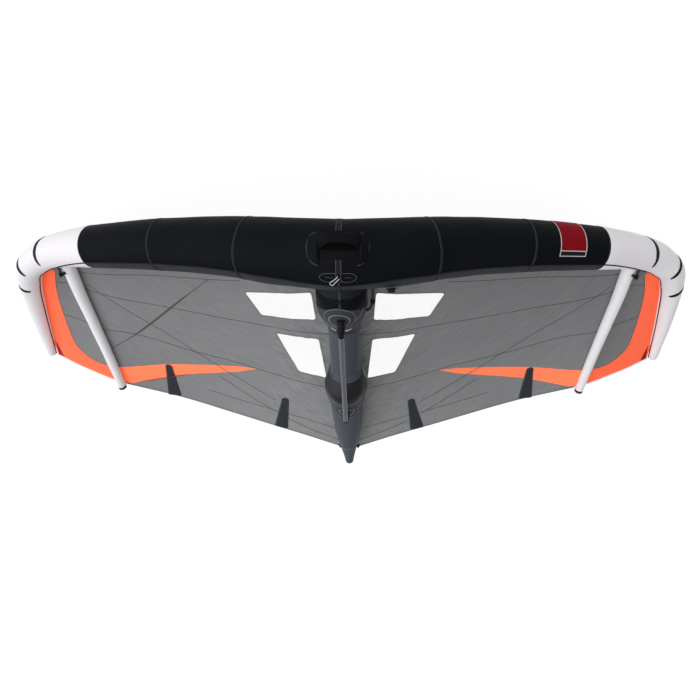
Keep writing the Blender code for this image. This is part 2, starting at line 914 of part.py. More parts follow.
def add_boom():
    tops = [strut_top(share, 0.0)[0].z for share in (boom_foot_front_share, boom_foot_rear_share)]
    height = max(tops) + boom_lift
    front = Vector((0, wing_length * boom_front_length_share, height))
    rear = Vector((0, wing_length * boom_rear_length_share, height))
    across = Vector((1, 0, 0))
    bm = bmesh.new()
    ends = [front, rear]
    shell(bm, path_rings(ends, [boom_radius] * 2, slim_sides),
          path_rings(ends, [boom_radius - boom_wall] * 2, slim_sides))
    add_part("boom_tube", bm, "boom_metal")
    for word, end, foot_share, way in (("front", front, boom_foot_front_share, -1),
                                       ("rear", rear, boom_foot_rear_share, 1)):
        socket = end + Vector((0, way * seat_gap, 0))
        elbow = socket + Vector((0, way * boom_radius, 0))
        foot_ring, foot = strut_foot(foot_share, boom_foot_radius, foot_lift + seat_gap)
        route = [socket, elbow, lerp(elbow, foot, boom_knee_share), foot]
        rings = path_rings(route, [boom_radius] * len(route), slim_sides, up=across)
        bm = bmesh.new()
        solid(bm, rings[:-1] + [foot_ring], end_middle=foot)
        add_part(f"boom_head_{word}", bm, "black_plastic")


def strut_patch(bm, centre_share, half_length, half_angle, low, high):
    """A padded patch over the top of the centre strut, its facets along the strut's own."""
    _, start = strut_top(centre_share - half_length / wing_length, 0)
    _, end = strut_top(centre_share + half_length / wing_length, 0)
    top = radians(90)
    turns = angles(top - half_angle, top + half_angle, ring_sides)
    rings = []
    for s in stations(start, end):
        upper = [strut.point(s, a, high) for a in turns]
        lower = [strut.point(s, a, low) for a in reversed(turns)]
        rings.append(upper + lower)
    solid_strip(bm, rings)


def solid_strip(bm, rings):
    """Closed body along flat strips: each ring is an upper row and the lower row back again."""
    made = add_rings(bm, rings)
    skin(bm, made)
    for ring in (made[0], made[-1]):
        half = len(ring) // 2
        for k in range(half - 1):
            bm.faces.new((ring[k], ring[k + 1], ring[-2 - k], ring[-1 - k]))


def add_boom_patches():
    front_half_length, front_half_angle = 0.084, radians(39)
    rear_half_length, rear_half_angle = 0.064, radians(46)
    for word, share, half_length, half_angle in (
            ("front", boom_foot_front_share, front_half_length, front_half_angle),
            ("rear", boom_foot_rear_share, rear_half_length, rear_half_angle)):
        bm = bmesh.new()
        strut_patch(bm, share, half_length, half_angle, seat_gap, foot_lift)
        add_part(f"boom_patch_{word}", bm, "black_webbing")


# Front handle on the leading edge
handle_angle = radians(40)
handle_axis_lift = 0.014
pocket_inner_x = 0.103
pocket_outer_x = 0.163
pocket_angle = radians(29)
pocket_half_angle = radians(26)
pocket_thickness = 0.022
stud_radius = 0.006
strap_half_width = 0.014
strap_half_thickness = 0.0025
core_radius = 0.007
handle_reach = 0.078
handle_hang_angle = radians(75)
grip_half_length = 0.078
grip_radius = 0.016
grip_bore = 0.0076


def edge_patch(bm, start_x, end_x, first_angle, last_angle, low, high, side):
    turns = angles(first_angle, last_angle, ring_sides)
    rings = []
    for s in stations(edge_station(start_x), edge_station(end_x)):
        upper = [mirrored(edge.point(s, a, high), side) for a in turns]
        lower = [mirrored(edge.point(s, a, low), side) for a in reversed(turns)]
        rings.append(upper + lower)
    solid_strip(bm, rings)


def handle_frame():
    """Where the handle hinges, the way it hangs and the way across it."""
    s = edge_station(pocket_inner_x)
    pivot = edge.point(s, handle_angle, handle_axis_lift)
    pivot = Vector((0, pivot.y, pivot.z))
    droop = handle_angle - handle_hang_angle
    hang = Vector((0, -cos(droop), sin(droop)))
    return pivot, hang, Vector((1, 0, 0)).cross(hang)


def handle_ring(x, reach, wide, deep, pivot, hang, across):
    sides = slim_sides
    ring = []
    for k in range(sides):
        a = 2 * pi * k / sides
        ring.append(pivot + Vector((x, 0, 0)) + hang * (reach + deep * cos(a)) + across * (wide * sin(a)))
    return ring


def add_handle():
    for side, word in ((-1, "left"), (1, "right")):
        bm = bmesh.new()
        edge_patch(bm, pocket_inner_x, pocket_outer_x, pocket_angle - pocket_half_angle,
                   pocket_angle + pocket_half_angle, seat_gap, pocket_thickness, side)
        add_part(f"handle_pocket_{word}", bm, "black_webbing")
    pivot, hang, across = handle_frame()
    s = edge_station(pocket_inner_x)
    sweep = stud_radius / (edge.radii[0] + handle_axis_lift)
    seats = [edge.point(s, handle_angle + way * sweep, handle_axis_lift + rise * stud_radius).x
             for way in (-1, 1) for rise in (-1, 1)]
    stud = min(seats) - fit_gap
    strap_start = grip_half_length
    half = [
        (stud, 0.0, stud_radius, stud_radius),
        (stud - stud_radius, 0.0, stud_radius, stud_radius),
        (lerp(stud, strap_start, 0.45), handle_reach * 0.42, strap_half_thickness, strap_half_width),
        (lerp(stud, strap_start, 0.78), handle_reach * 0.8, strap_half_thickness, strap_half_width),
        (strap_start + seat_gap, handle_reach, core_radius, core_radius),
        (strap_start / 2, handle_reach, core_radius, core_radius),
    ]
    whole = half + [(-x, r, w, d) for x, r, w, d in reversed(half)]
    bm = bmesh.new()
    solid(bm, [handle_ring(x, r, w, d, pivot, hang, across) for x, r, w, d in whole])
    add_part("handle_webbing", bm, "black_webbing", pivot=pivot)
    bm = bmesh.new()
    lengths = (-grip_half_length, 0.0, grip_half_length)
    outer = [handle_ring(x, handle_reach, grip_radius, grip_radius, pivot, hang, across) for x in lengths]
    inner = [handle_ring(x, handle_reach, grip_bore, grip_bore, pivot, hang, across) for x in lengths]
    shell(bm, outer, inner)
    add_part("handle_grip", bm, "black_rubber", pivot=pivot)


# Leash loop on top of the leading edge
leash_angle = radians(75)
leash_patch_half_length = 0.10
leash_patch_half_angle = radians(13)
leash_patch_thickness = 0.003
tab_half_length = 0.012
tab_half_angle = radians(3)
tab_thickness = 0.0085
cord_radius = 0.003
cord_sides = 8
loop_height = 0.045
loop_half_width = 0.026
loop_lie_angle = radians(90)


def edge_band(bm, half_length, first_angle, last_angle, low, high):
    """A strip round the front of the leading edge, from one side of its middle to the other."""
    turns = angles(first_angle, last_angle, ring_sides)
    half = []
    for s in stations(0.0, edge_station(half_length)):
        half.append([edge.point(s, a, high) for a in turns] + [edge.point(s, a, low) for a in reversed(turns)])
    other = [[mirrored(p, -1) for p in ring] for ring in half[:0:-1]]
    solid_strip(bm, other + half)


def smooth_path(points, steps):
    """Points of a smooth curve through the given ones."""
    ends = [points[0] * 2 - points[1]] + points + [points[-1] * 2 - points[-2]]
    out = []
    for i in range(1, len(ends) - 2):
        a, b, c, d = ends[i - 1:i + 3]
        for k in range(steps):
            t = k / steps
            out.append(((b * 2) + (c - a) * t + (a * 2 - b * 5 + c * 4 - d) * t ** 2
                        + (b * 3 - a - c * 3 + d) * t ** 3) / 2)
    out.append(points[-1])
    return out


def leash_frame():
    """Where the loop hinges, the way it lies at rest and the way across its plane."""
    s = edge_station(tab_half_length)
    lift = leash_patch_thickness + seat_gap + tab_thickness / 2
    pivot = edge.point(s, leash_angle, lift)
    pivot = Vector((0, pivot.y, pivot.z))
    turn = leash_angle + loop_lie_angle
    return pivot, Vector((0, -cos(turn), sin(turn)))


def add_leash():
    first, last = leash_angle - leash_patch_half_angle, leash_angle + leash_patch_half_angle
    bm = bmesh.new()
    edge_band(bm, leash_patch_half_length, first, last, seat_gap, leash_patch_thickness)
    add_part("leash_patch", bm, "black_webbing")
    low = leash_patch_thickness + fit_gap
    bm = bmesh.new()
    edge_band(bm, tab_half_length, leash_angle - tab_half_angle, leash_angle + tab_half_angle,
              low, low + tab_thickness)
    add_part("leash_tab", bm, "black_webbing")
    pivot, lie = leash_frame()
    s = edge_station(tab_half_length)
    ends = [edge.point(s, leash_angle + turn, low + tab_thickness).x
            for turn in (-tab_half_angle, 0.0, tab_half_angle)]
    foot = max(ends) + fit_gap
    shares = ((0.0, 0.0), (0.2, 0.0), (0.45, 0.0), (0.85, 0.1), (1.0, 0.32), (0.9, 0.62), (0.4, 0.92))
    half = [Vector((lerp(foot, loop_half_width, x), 0, 0)) + lie * (loop_height * y) for x, y in shares]
    points = half + [lie * loop_height] + [mirrored(p, -1) for p in reversed(half)]
    route = [pivot + p for p in smooth_path(points, 2)]
    bm = bmesh.new()
    normal = Vector((1, 0, 0)).cross(lie)
    solid(bm, path_rings(route, [cord_radius] * len(route), cord_sides, up=normal))
    add_part("leash_loop", bm, "white_cord", pivot=pivot)


def surface_frame(tube, s, angle, lift, side=1):
    """Point on a tube with its outward normal, the way along it and the way round it."""
    nudge = 0.02
    p = mirrored(tube.point(s, angle, lift), side)
    ahead = mirrored(tube.point(s + nudge, angle, lift), side)
    behind = mirrored(tube.point(s - nudge, angle, lift), side)
    turned_on = mirrored(tube.point(s, angle + nudge, lift), side)
    turned_back = mirrored(tube.point(s, angle - nudge, lift), side)
    along = (ahead - behind).normalized()
    round_way = (turned_on - turned_back).normalized()
    normal = along.cross(round_way).normalized()
    outward = mirrored(tube.point(s, angle, lift + nudge), side) - p
    if normal.dot(outward) < 0:
        normal = -normal
    return p, normal, along, normal.cross(along)


def frame_matrix(p, normal, along, across):
    turn = Matrix((along, across, normal)).transposed().to_4x4()
    return Matrix.Translation(p) @ turn


def turned_rings(frame, profile, sides=slim_sides):
    rings = []
    for radius, height in profile:
        rings.append([frame @ Vector((radius * cos(2 * pi * k / sides), radius * sin(2 * pi * k / sides),
                                      height)) for k in range(sides)])
    return rings


def block(bm, frame, low, high):
    rings = []
    for z in (low[2], high[2]):
        rings.append([frame @ Vector((x, y, z)) for x, y in
                      ((low[0], low[1]), (high[0], low[1]), (high[0], high[1]), (low[0], high[1]))])
    solid(bm, rings)


def join_block(target, name, frame, low, high):
    """Union a block, given in the frame's axes, onto a part."""
    bm = bmesh.new()
    block(bm, frame, low, high)
    tool = add_part(name, bm, "black_plastic", smooth=False)
    tool.hide_render = True
    tool.display_type = "WIRE"
    union = target.modifiers.new(name, "BOOLEAN")
    union.operation = "UNION"
    union.solver = "EXACT"
    union.object = tool


# Inflation valve behind the top of the leading edge, near the strut
valve_x = 0.232
valve_angle = radians(117)
valve_side = -1
flange_radius = 0.030
flange_thickness = 0.003
neck_radius = 0.0175
neck_height = 0.016
valve_bore = 0.012
valve_cap_thickness = 0.004
valve_hinge_reach = 0.0245
lug_inner = 0.0045
lug_outer = 0.0075
lug_half_depth = 0.0025
lug_height = 0.0195
arm_half_width = 0.0042


def valve_frame():
    return frame_matrix(*surface_frame(edge, edge_station(valve_x), valve_angle, seat_gap, valve_side))


def add_valve():
    frame = valve_frame()
    shoulder = flange_thickness * 1.5
    outer = ((flange_radius, 0.0), (flange_radius, flange_thickness), (neck_radius + fit_gap, shoulder),
             (neck_radius, neck_height))
    inner = tuple((valve_bore, height) for _, height in outer)
    bm = bmesh.new()
    shell(bm, turned_rings(frame, outer, ring_sides), turned_rings(frame, inner, ring_sides))
    body = add_part("valve_body", bm, "grey_plastic")
    for way in (-1, 1):
        sides = sorted((way * lug_inner, way * lug_outer))
        join_block(body, f"cutter_lug_{way}", frame,
                   (valve_hinge_reach - lug_half_depth, sides[0], flange_thickness / 2),
                   (valve_hinge_reach + lug_half_depth, sides[1], lug_height))
    low = neck_height + fit_gap
    high = low + valve_cap_thickness
    pivot = frame @ Vector((valve_hinge_reach, 0, (low + high) / 2))
    bm = bmesh.new()
    solid(bm, turned_rings(frame, ((neck_radius, low), (neck_radius, high)), ring_sides))
    cap = add_part("valve_cap", bm, "black_plastic", pivot=pivot)
    join_block(cap, "cutter_arm", frame, (neck_radius / 2, -arm_half_width, low + fit_gap),
               (valve_hinge_reach + lug_half_depth * 0.7, arm_half_width, high - fit_gap))


# Air hoses and their clamps
hose_radius = 0.007
hose_sides = 8
collar_radius = 0.0105
collar_half_length = 0.011
hose_steps = 12
lever_length = 0.024
lever_half_width = 0.005
lever_thickness = 0.003
knuckle_radius = 0.0022


def curve_point(ends, t):
    a, b, c, d = ends
    u = 1 - t
    return a * (u ** 3) + b * (3 * u * u * t) + c * (3 * u * t * t) + d * (t ** 3)


def add_hose(name, start_frame, end_frame, reach):
    p, n = start_frame[0], start_frame[1]
    q, m = end_frame[0], end_frame[1]
    ends = (p, p + n * reach, q + m * reach, q)
    points = [curve_point(ends, k / hose_steps) for k in range(hose_steps + 1)]
    middle = curve_point(ends, 0.5)
    tangent = (curve_point(ends, 0.51) - curve_point(ends, 0.49)).normalized()
    rise = (n + m).normalized()
    rise = (rise - tangent * rise.dot(tangent)).normalized()
    across = tangent.cross(rise)
    half = hose_steps // 2
    collar = [middle - tangent * collar_half_length, middle - tangent * collar_half_length,
              middle + tangent * collar_half_length, middle + tangent * collar_half_length]
    before = [x for x in points[:half] if (x - middle).dot(tangent) < -collar_half_length * 1.4]
    after = [x for x in points[half + 1:] if (x - middle).dot(tangent) > collar_half_length * 1.4]
    route = before + collar + after
    radii = ([hose_radius] * len(before) + [hose_radius, collar_radius, collar_radius, hose_radius]
             + [hose_radius] * len(after))
    rings = []
    for i, x in enumerate(route):
        if i == 0:
            along = n
        elif i == len(route) - 1:
            along = -m
        elif len(before) <= i < len(before) + 4:
            along = tangent
        else:
            along = (route[i + 1] - route[i - 1]).normalized()
        up = (rise - along * rise.dot(along)).normalized()
        side = along.cross(up)
        step = 2 * pi / hose_sides
        rings.append([x + up * (radii[i] * cos(step * (k + 0.5))) + side * (radii[i] * sin(step * (k + 0.5)))
                      for k in range(hose_sides)])
    bm = bmesh.new()
    solid(bm, rings)
    add_part(f"{name}_hose", bm, "black_rubber")
    flat_height = collar_radius * cos(pi / hose_sides)
    frame = frame_matrix(middle + rise * (flat_height + fit_gap), rise, tangent, across)
    back = -collar_half_length + knuckle_radius
    pivot = frame @ Vector((back, 0, knuckle_radius))
    profile = []
    for k in range(hose_sides + 1):
        a = pi / 2 + pi * k / hose_sides
        profile.append((back + knuckle_radius * cos(a), knuckle_radius + knuckle_radius * sin(a)))
    profile += [(back + lever_length, fit_gap), (back + lever_length, fit_gap + lever_thickness)]
    rings = [[frame @ Vector((x, y, z)) for x, z in profile] for y in (-lever_half_width, lever_half_width)]
    bm = bmesh.new()
    solid(bm, rings)
    add_part(f"{name}_clamp", bm, "black_plastic", smooth=False, pivot=pivot)
    return pivot, across


def add_hoses():
    centre_x = 0.158
    rear_angle = radians(153)
    strut_flank = radians(171)
    centre_station = 3.0
    centre_reach = 0.038
    side_span_share = 0.838
    side_rear_angle = radians(145)
    add_hose("centre", surface_frame(edge, edge_station(centre_x), rear_angle, seat_gap, -1),
             surface_frame(strut, centre_station, strut_flank, seat_gap), centre_reach)
    side_station = 0.38
    side_flank = radians(60)
    side_reach = 0.046
    for side, word in ((-1, "left"), (1, "right")):
        add_hose(word, surface_frame(edge, edge_station(half_span * side_span_share), side_rear_angle,
                                     seat_gap, side),
                 surface_frame(side_strut, side_station, side_flank, seat_gap, side), side_reach)


def add_label():
    start_span_share, end_span_share = 0.5235, 0.603
    first, last = radians(-45), radians(62)
    label_thickness = 0.0016
    bm = bmesh.new()
    edge_patch(bm, half_span * start_span_share, half_span * end_span_share, first, last,
               seat_gap, label_thickness, -1)
    add_part("side_label", bm, "red_label")


def settle():
    """Stand the wing on the ground with the origin under the middle of its outline."""
    wing = bpy.data.objects["wing"]
    bpy.context.view_layer.update()
    places = [o.matrix_world @ v.co for o in bpy.data.objects if o.type == "MESH" and not o.hide_render
              for v in o.data.vertices]
    middle_y = (min(p.y for p in places) + max(p.y for p in places)) / 2
    wing.location = (0, -middle_y, -min(p.z for p in places))


def main():
    clear_scene()
    wing = bpy.data.objects.new("wing", None)
    bpy.context.collection.objects.link(wing)
    add_edge_sleeves()
    add_edge_bladder()
    add_piping()
    add_strut()
    add_strut_bladder()
    add_side_struts()
    add_canopy()
    add_battens()
    add_boom()
    add_boom_patches()
    add_handle()
    add_leash()
    add_valve()
    add_hoses()
    add_label()
    settle()


main()
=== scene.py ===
from functools import lru_cache
from math import atan2, ceil, cos, exp, floor, pi, radians, sin, sqrt

import bmesh
import bpy
from mathutils import Matrix, Vector, noise
from mathutils.bvhtree import BVHTree
from mathutils.geometry import delaunay_2d_cdt


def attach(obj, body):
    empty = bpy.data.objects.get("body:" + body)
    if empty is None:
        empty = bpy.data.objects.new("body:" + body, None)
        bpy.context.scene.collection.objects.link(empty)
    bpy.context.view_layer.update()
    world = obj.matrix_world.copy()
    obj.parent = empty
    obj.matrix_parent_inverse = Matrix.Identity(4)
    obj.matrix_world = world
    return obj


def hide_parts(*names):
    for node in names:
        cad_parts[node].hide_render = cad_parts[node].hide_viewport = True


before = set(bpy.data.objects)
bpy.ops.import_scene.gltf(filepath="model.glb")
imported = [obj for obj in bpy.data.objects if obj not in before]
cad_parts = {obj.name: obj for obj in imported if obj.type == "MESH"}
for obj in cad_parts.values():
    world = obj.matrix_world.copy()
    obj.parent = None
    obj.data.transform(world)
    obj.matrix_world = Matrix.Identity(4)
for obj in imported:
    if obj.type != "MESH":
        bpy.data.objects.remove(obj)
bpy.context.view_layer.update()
print("frame loaded")

# The wing lies on its back: nose towards -Y, span along X, struts up.
wingShape = {
    "halfSpan": 2.0,
    "length": 2.28,
    "nose": -1.12037,
    "noseRadius": 0.174,
    "sleeveShare": 0.995,       # the sleeve's radius, as a share of the outline's
    "noseLift": 0.388,
    "tipSetback": 1.526,
    "clothHeight": 0.60,
    "camber": 0.055,
    "clothAngle": radians(205),
    "strutRadius": 0.0845,
    "sideStrutRadius": 0.041,
    "cornerEase": 0.34,
    "noseEase": 0.14,
    # centre to tip: along the span, sweep, lift, radius
    "edge": ((0.0, 0.0, 1.0, 1.0), (0.158, 0.0127, 0.918, 0.956), (0.247, 0.038, 0.799, 0.889),
             (0.353, 0.076, 0.667, 0.828), (0.493, 0.130, 0.505, 0.767),
             (0.615, 0.187, 0.371, 0.700),
             (0.686, 0.2215, 0.294, 0.656), (0.782, 0.291, 0.149, 0.572),
             (0.867, 0.373, 0.0, 0.517),
             (0.937, 0.463, 0.0, 0.439), (0.9685, 0.608, 0.0, 0.350), (0.9805, 0.804, 0.137, 0.256),
             (0.9805, 1.0, 0.338, 0.156)),
    # centre to tip: along the span, along the length, height
    "trailing": ((0.0, 0.945, 0.998), (0.222, 0.868, 0.893), (0.57, 0.7965, 0.652),
                 (0.734, 0.763, 0.580),
                 (0.87, 0.750, 0.418), (0.9665, 0.7456, 0.258)),
    "ribEnds": (0.0, 0.142, 0.222, 0.33, 0.47, 0.59, 0.67, 0.77, 0.85, 0.91, 0.94, 0.958, 0.9665),
    # front to back: along the length, radius
    "strut": ((0.120, 1.20), (0.168, 1.54), (0.200, 1.56), (0.232, 1.49), (0.272, 1.25),
              (0.314, 1.02),
              (0.360, 1.0), (0.494, 1.0), (0.520, 1.28), (0.551, 1.455), (0.602, 1.34),
              (0.6355, 1.18),
              (0.784, 0.97), (0.901, 0.57), (0.953, 0.38), (0.985, 0.28), (1.0, 0.12)),
    # front to back: along the span, along the length, radius
    "sideStrut": ((0.811, 0.285, 0.96), (0.784, 0.450, 0.87), (0.771, 0.530, 0.80),
                  (0.758, 0.610, 0.75),
                  (0.745, 0.690, 0.70), (0.734, 0.762, 0.63)),
}
halfSpan, chord, nose = wingShape["halfSpan"], wingShape["length"], wingShape["nose"]
hands = ((1, "right"), (-1, "left"))


def lerp(a, b, share):
    return a + (b - a) * share


def smoothAt(xs, ys, x):
    # a smooth line through the rows that never overshoots them
    if x <= xs[0]:
        return ys[0]
    if x >= xs[-1]:
        return ys[-1]
    i = max(k for k in range(len(xs) - 1) if xs[k] <= x)
    slopes = {}
    for k in (i - 1, i, i + 1):
        if 0 <= k < len(xs) - 1:
            slopes[k] = (ys[k + 1] - ys[k]) / (xs[k + 1] - xs[k])

    def tangent(k):
        before, after = slopes.get(k - 1), slopes.get(k)
        if before is None or after is None:
            return slopes[i]
        return 0.0 if before * after <= 0 else 2 * before * after / (before + after)

    width = xs[i + 1] - xs[i]
    t = (x - xs[i]) / width
    rise = t * t * (3 - 2 * t)
    return (lerp(ys[i], ys[i + 1], rise) + width * tangent(i) * (t ** 3 - 2 * t * t + t)
            + width * tangent(i + 1) * (t ** 3 - t * t))


def eased(rows, s, ease):
    # a place on the line through the rows, its corners rounded
    i = min(max(int(floor(s + 0.5)), 1), len(rows) - 2)
    if abs(s - i) < ease:
        t = (s - i + ease) / (2 * ease)
        a, b = rows[i].lerp(rows[i - 1], ease), rows[i].lerp(rows[i + 1], ease)
        return a * (1 - t) ** 2 + rows[i] * (2 * t * (1 - t)) + b * t * t
    k = min(max(int(floor(s)), 0), len(rows) - 2)
    return rows[k].lerp(rows[k + 1], s - k)


def dome(t):
    # a quarter round: 1 up to t = 0, down to 0 at t = 1
    return sqrt(max(0.0, 1 - max(0.0, t) ** 2))


def mirrored(p, side):
    return Vector((p.x * side, p.y, p.z))


def edgeTable():
    rows = []
    full = wingShape["noseRadius"]
    for span, sweep, lift, size in wingShape["edge"]:
        r = full * wingShape["sleeveShare"] * size
        rows.append(Vector((halfSpan * span, nose + full + wingShape["tipSetback"] * sweep,
                            full * size + wingShape["noseLift"] * lift, r)))
    before = rows[1].copy()
    before.x = -before.x
    return [before] + rows + [rows[-1] * 2 - rows[-2]]


edgeRows = edgeTable()
edgeEnd = len(wingShape["edge"]) - 1


@lru_cache(None)
def edgeFrame(s):
    # middle of the leading edge tube, its radius, the way forward and the way up
    ease = wingShape["noseEase" if s < 0.5 else "cornerEase"]
    here = eased(edgeRows, s + 1, ease)
    along = (eased(edgeRows, s + 1.01, ease) - eased(edgeRows, s + 0.99, ease)).to_3d().normalized()
    out = Vector((along.y, -along.x, 0)).normalized()
    return here.to_3d(), here.w, out, out.cross(along), along


def edgePoint(s, angle, lift=0.0, side=1):
    middle, r, out, up, _ = edgeFrame(round(s, 5))
    return mirrored(middle + out * ((r + lift) * cos(angle)) + up * ((r + lift) * sin(angle)), side)


def edgeNormal(s, angle, side=1):
    _, _, out, up, _ = edgeFrame(round(s, 5))
    return mirrored(out * cos(angle) + up * sin(angle), side)


def stationWhere(place, x, steps):
    # the station along the leading edge where place(station) is that far from the middle
    low, high = 0.0, float(edgeEnd)
    for _ in range(steps):
        middle = (low + high) / 2
        if place(middle).x < x:
            low = middle
        else:
            high = middle
    return low


def trailingPoint(share):
    spans, lengths, heights = zip(*wingShape["trailing"])
    return Vector((halfSpan * share, nose + chord * smoothAt(spans, lengths, share),
                   wingShape["clothHeight"] * smoothAt(spans, heights, share)))


def clothSurface():
    # the curve that all the cloth lies on, as ribs from the leading edge to the trailing edge
    perStation, rows = 16, 44
    corners, faces = [], []
    for side in (-1, 1):
        start = len(corners)
        count = edgeEnd * perStation
        for k in range(count + 1):
            s = k / perStation
            front = edgePoint(s, wingShape["clothAngle"])
            back = trailingPoint(smoothAt(list(range(edgeEnd + 1)), wingShape["ribEnds"], s))
            depth = wingShape["camber"] * (back - front).length / chord
            for j in range(-2, rows + 3):
                t = j / rows
                p = front.lerp(back, t)
                p.z -= depth * 4 * t * (1 - t)
                corners.append(mirrored(p, side))
        wide = rows + 5
        for i in range(count):
            for j in range(wide - 1):
                a = start + i * wide + j
                faces.append((a, a + 1, a + wide + 1, a + wide))
    return BVHTree.FromPolygons(corners, faces)


clothTree = clothSurface()


def onCloth(x, y, lift=0.0):
    place, normal, _, _ = clothTree.ray_cast(Vector((x, y, 2)), Vector((0, 0, -1)))
    if place is None:
        z = wingShape["clothHeight"] / 2
        for _ in range(6):
            place, normal, _, _ = clothTree.find_nearest(Vector((x, y, z)))
            z = place.z
    if normal.z < 0:
        normal = -normal
    return place + normal * lift


def strutRow(share):
    # height of the strut's axis and its radius at a share of the length
    lengths, sizes = zip(*wingShape["strut"])
    r = wingShape["strutRadius"] * smoothAt(lengths, sizes, share)
    return onCloth(0.0, nose + chord * share).z + r + 0.0016, r


@lru_cache(None)
def strutFrame(share):
    z, r = strutRow(share)
    return Vector((0, nose + chord * share, z)), r


def strutPoint(share, angle, lift=0.0):
    middle, r = strutFrame(round(share, 5))
    return middle + Vector(((r + lift) * cos(angle), 0, (r + lift) * sin(angle)))


def sideStrutRows():
    rows = []
    for span, length, size in wingShape["sideStrut"]:
        r = wingShape["sideStrutRadius"] * size
        p = onCloth(halfSpan * span, nose + chord * length, r + 0.0012)
        rows.append(Vector((*p, r)))
    return [rows[0] * 2 - rows[1]] + rows + [rows[-1] * 2 - rows[-2]]


sideRows = sideStrutRows()


@lru_cache(None)
def sideFrame(s):
    here = eased(sideRows, s + 1, 0.45)
    along = (eased(sideRows, s + 1.02, 0.45) - eased(sideRows, s + 0.98, 0.45)).to_3d().normalized()
    out = Vector((along.y, -along.x, 0)).normalized()
    return here.to_3d(), here.w, out, out.cross(along), along


def sidePoint(s, angle, lift=0.0, side=1):
    middle, r, out, up, _ = sideFrame(round(s, 5))
    return mirrored(middle + out * ((r + lift) * cos(angle)) + up * ((r + lift) * sin(angle)), side)


print("wing curves ready")


# finishes
class Wire:
    # one output of a node; sums on it add Math nodes
    def __init__(self, finish, socket):
        self.finish, self.socket = finish, socket

    def maths(self, operation, *others):
        return self.finish.node("Math", {"operation": operation}, dict(enumerate((self,) + others)))

    def __add__(self, other):
        return self.maths("ADD", other)

    def __sub__(self, other):
        return self.maths("SUBTRACT", other)

    def __rsub__(self, other):
        return self.finish.node("Math", {"operation": "SUBTRACT"}, {0: other, 1: self})

    def __mul__(self, other):
        return self.maths("MULTIPLY", other)

    def __truediv__(self, other):
        return self.maths("DIVIDE", other)

    def __pow__(self, other):
        return self.maths("POWER", other)

    __radd__, __rmul__ = __add__, __mul__


class Finish:
    def __init__(self, name):
        self.material = bpy.data.materials.new(name)
        self.material.use_nodes = True
        self.tree = self.material.node_tree
        self.surface = self.tree.nodes["Principled BSDF"]

    def node(self, kind, settings=None, sockets=None, out=0):
        made = self.tree.nodes.new("ShaderNode" + kind)
        for name, value in (settings or {}).items():
            if name == "stops":
                ramp = made.color_ramp.elements
                while len(ramp) < len(value):
                    ramp.new(1.0)
                for stop, (place, colour) in zip(ramp, value):
                    stop.position, stop.color = place, (*colour, 1)
            else:
                setattr(made, name, value)
        for name, value in (sockets or {}).items():
            self.feed(made.inputs[name], value)
        return Wire(self, made.outputs[out])

    def feed(self, socket, value):
        if isinstance(value, Wire):
            self.tree.links.new(value.socket, socket)
        else:
            socket.default_value = value

    def mix(self, share, a, b):
        # colours as (r, g, b) or wires
        first, second = ((*c, 1) if isinstance(c, tuple) else c for c in (a, b))
        return self.node("Mix", {"data_type": "RGBA"}, {0: share, 6: first, 7: second}, out=2)

    def noise(self, scale, detail=3.0, where=None, rough=0.55):
        sockets = {"Scale": scale, "Detail": detail, "Roughness": rough}
        sockets["Vector"] = where or self.place()
        return self.node("TexNoise", None, sockets)

    def place(self):
        return self.node("TexCoord", None, None, out=3)

    def cloth(self):
        # places on the flat cloth in metres
        return self.node("UVMap", {"uv_map": "UVMap"}, None)

    def axes(self, where, count=2):
        parts = self.node("SeparateXYZ", None, {0: where}).socket.node
        return [Wire(self, parts.outputs[k]) for k in range(count)]

    def stretched(self, where, scale, turn=0.0):
        turned = self.node("Mapping", None,
                           {"Vector": where, "Rotation": (0, 0, turn)}) if turn else where
        return self.node("Mapping", None, {"Vector": turned, "Scale": scale})

    def streaks(self, turn, fine, long):
        # folds at a slant to the strut, the same way on both sides
        x, y = self.axes(self.place())
        away = x.maths("ABSOLUTE")
        where = self.node("CombineXYZ", None, {0: (away * cos(turn) + y * sin(turn)) * fine,
                                               1: (y * cos(turn) - away * sin(turn)) * long,
                                               2: x.maths("SIGN") * 3.7})
        return self.noise(1.0, 4.0, where, 0.6), away, y

    def grid(self, where, pitch, line):
        # 1 on thin lines that cross every pitch, both ways
        marks = []
        for axis in self.axes(where):
            along = axis / pitch
            marks.append(along.maths("PINGPONG", 0.5).maths("LESS_THAN", line / pitch / 2))
        return marks[0].maths("MAXIMUM", marks[1])

    def weave(self, where, pitch):
        # small over and under of the threads
        waves = [(axis * (2 * pi / pitch)).maths("SINE") for axis in self.axes(where)]
        return waves[0] * waves[1]

    def bump(self, height, strength, distance, under=None):
        sockets = {"Height": height, "Strength": strength, "Distance": distance}
        if under:
            sockets["Normal"] = under
        return self.node("Bump", None, sockets)

    def set(self, **sockets):
        for name, value in sockets.items():
            words = "".join(" " + c if c.isupper() else c for c in name).split()
            title = " ".join(w[0].upper() + w[1:] for w in words)
            title = title.replace("Ior", "IOR")
            if isinstance(value, tuple):
                value = (*value, 1)
            self.feed(self.surface.inputs[title], value)
        return self.material


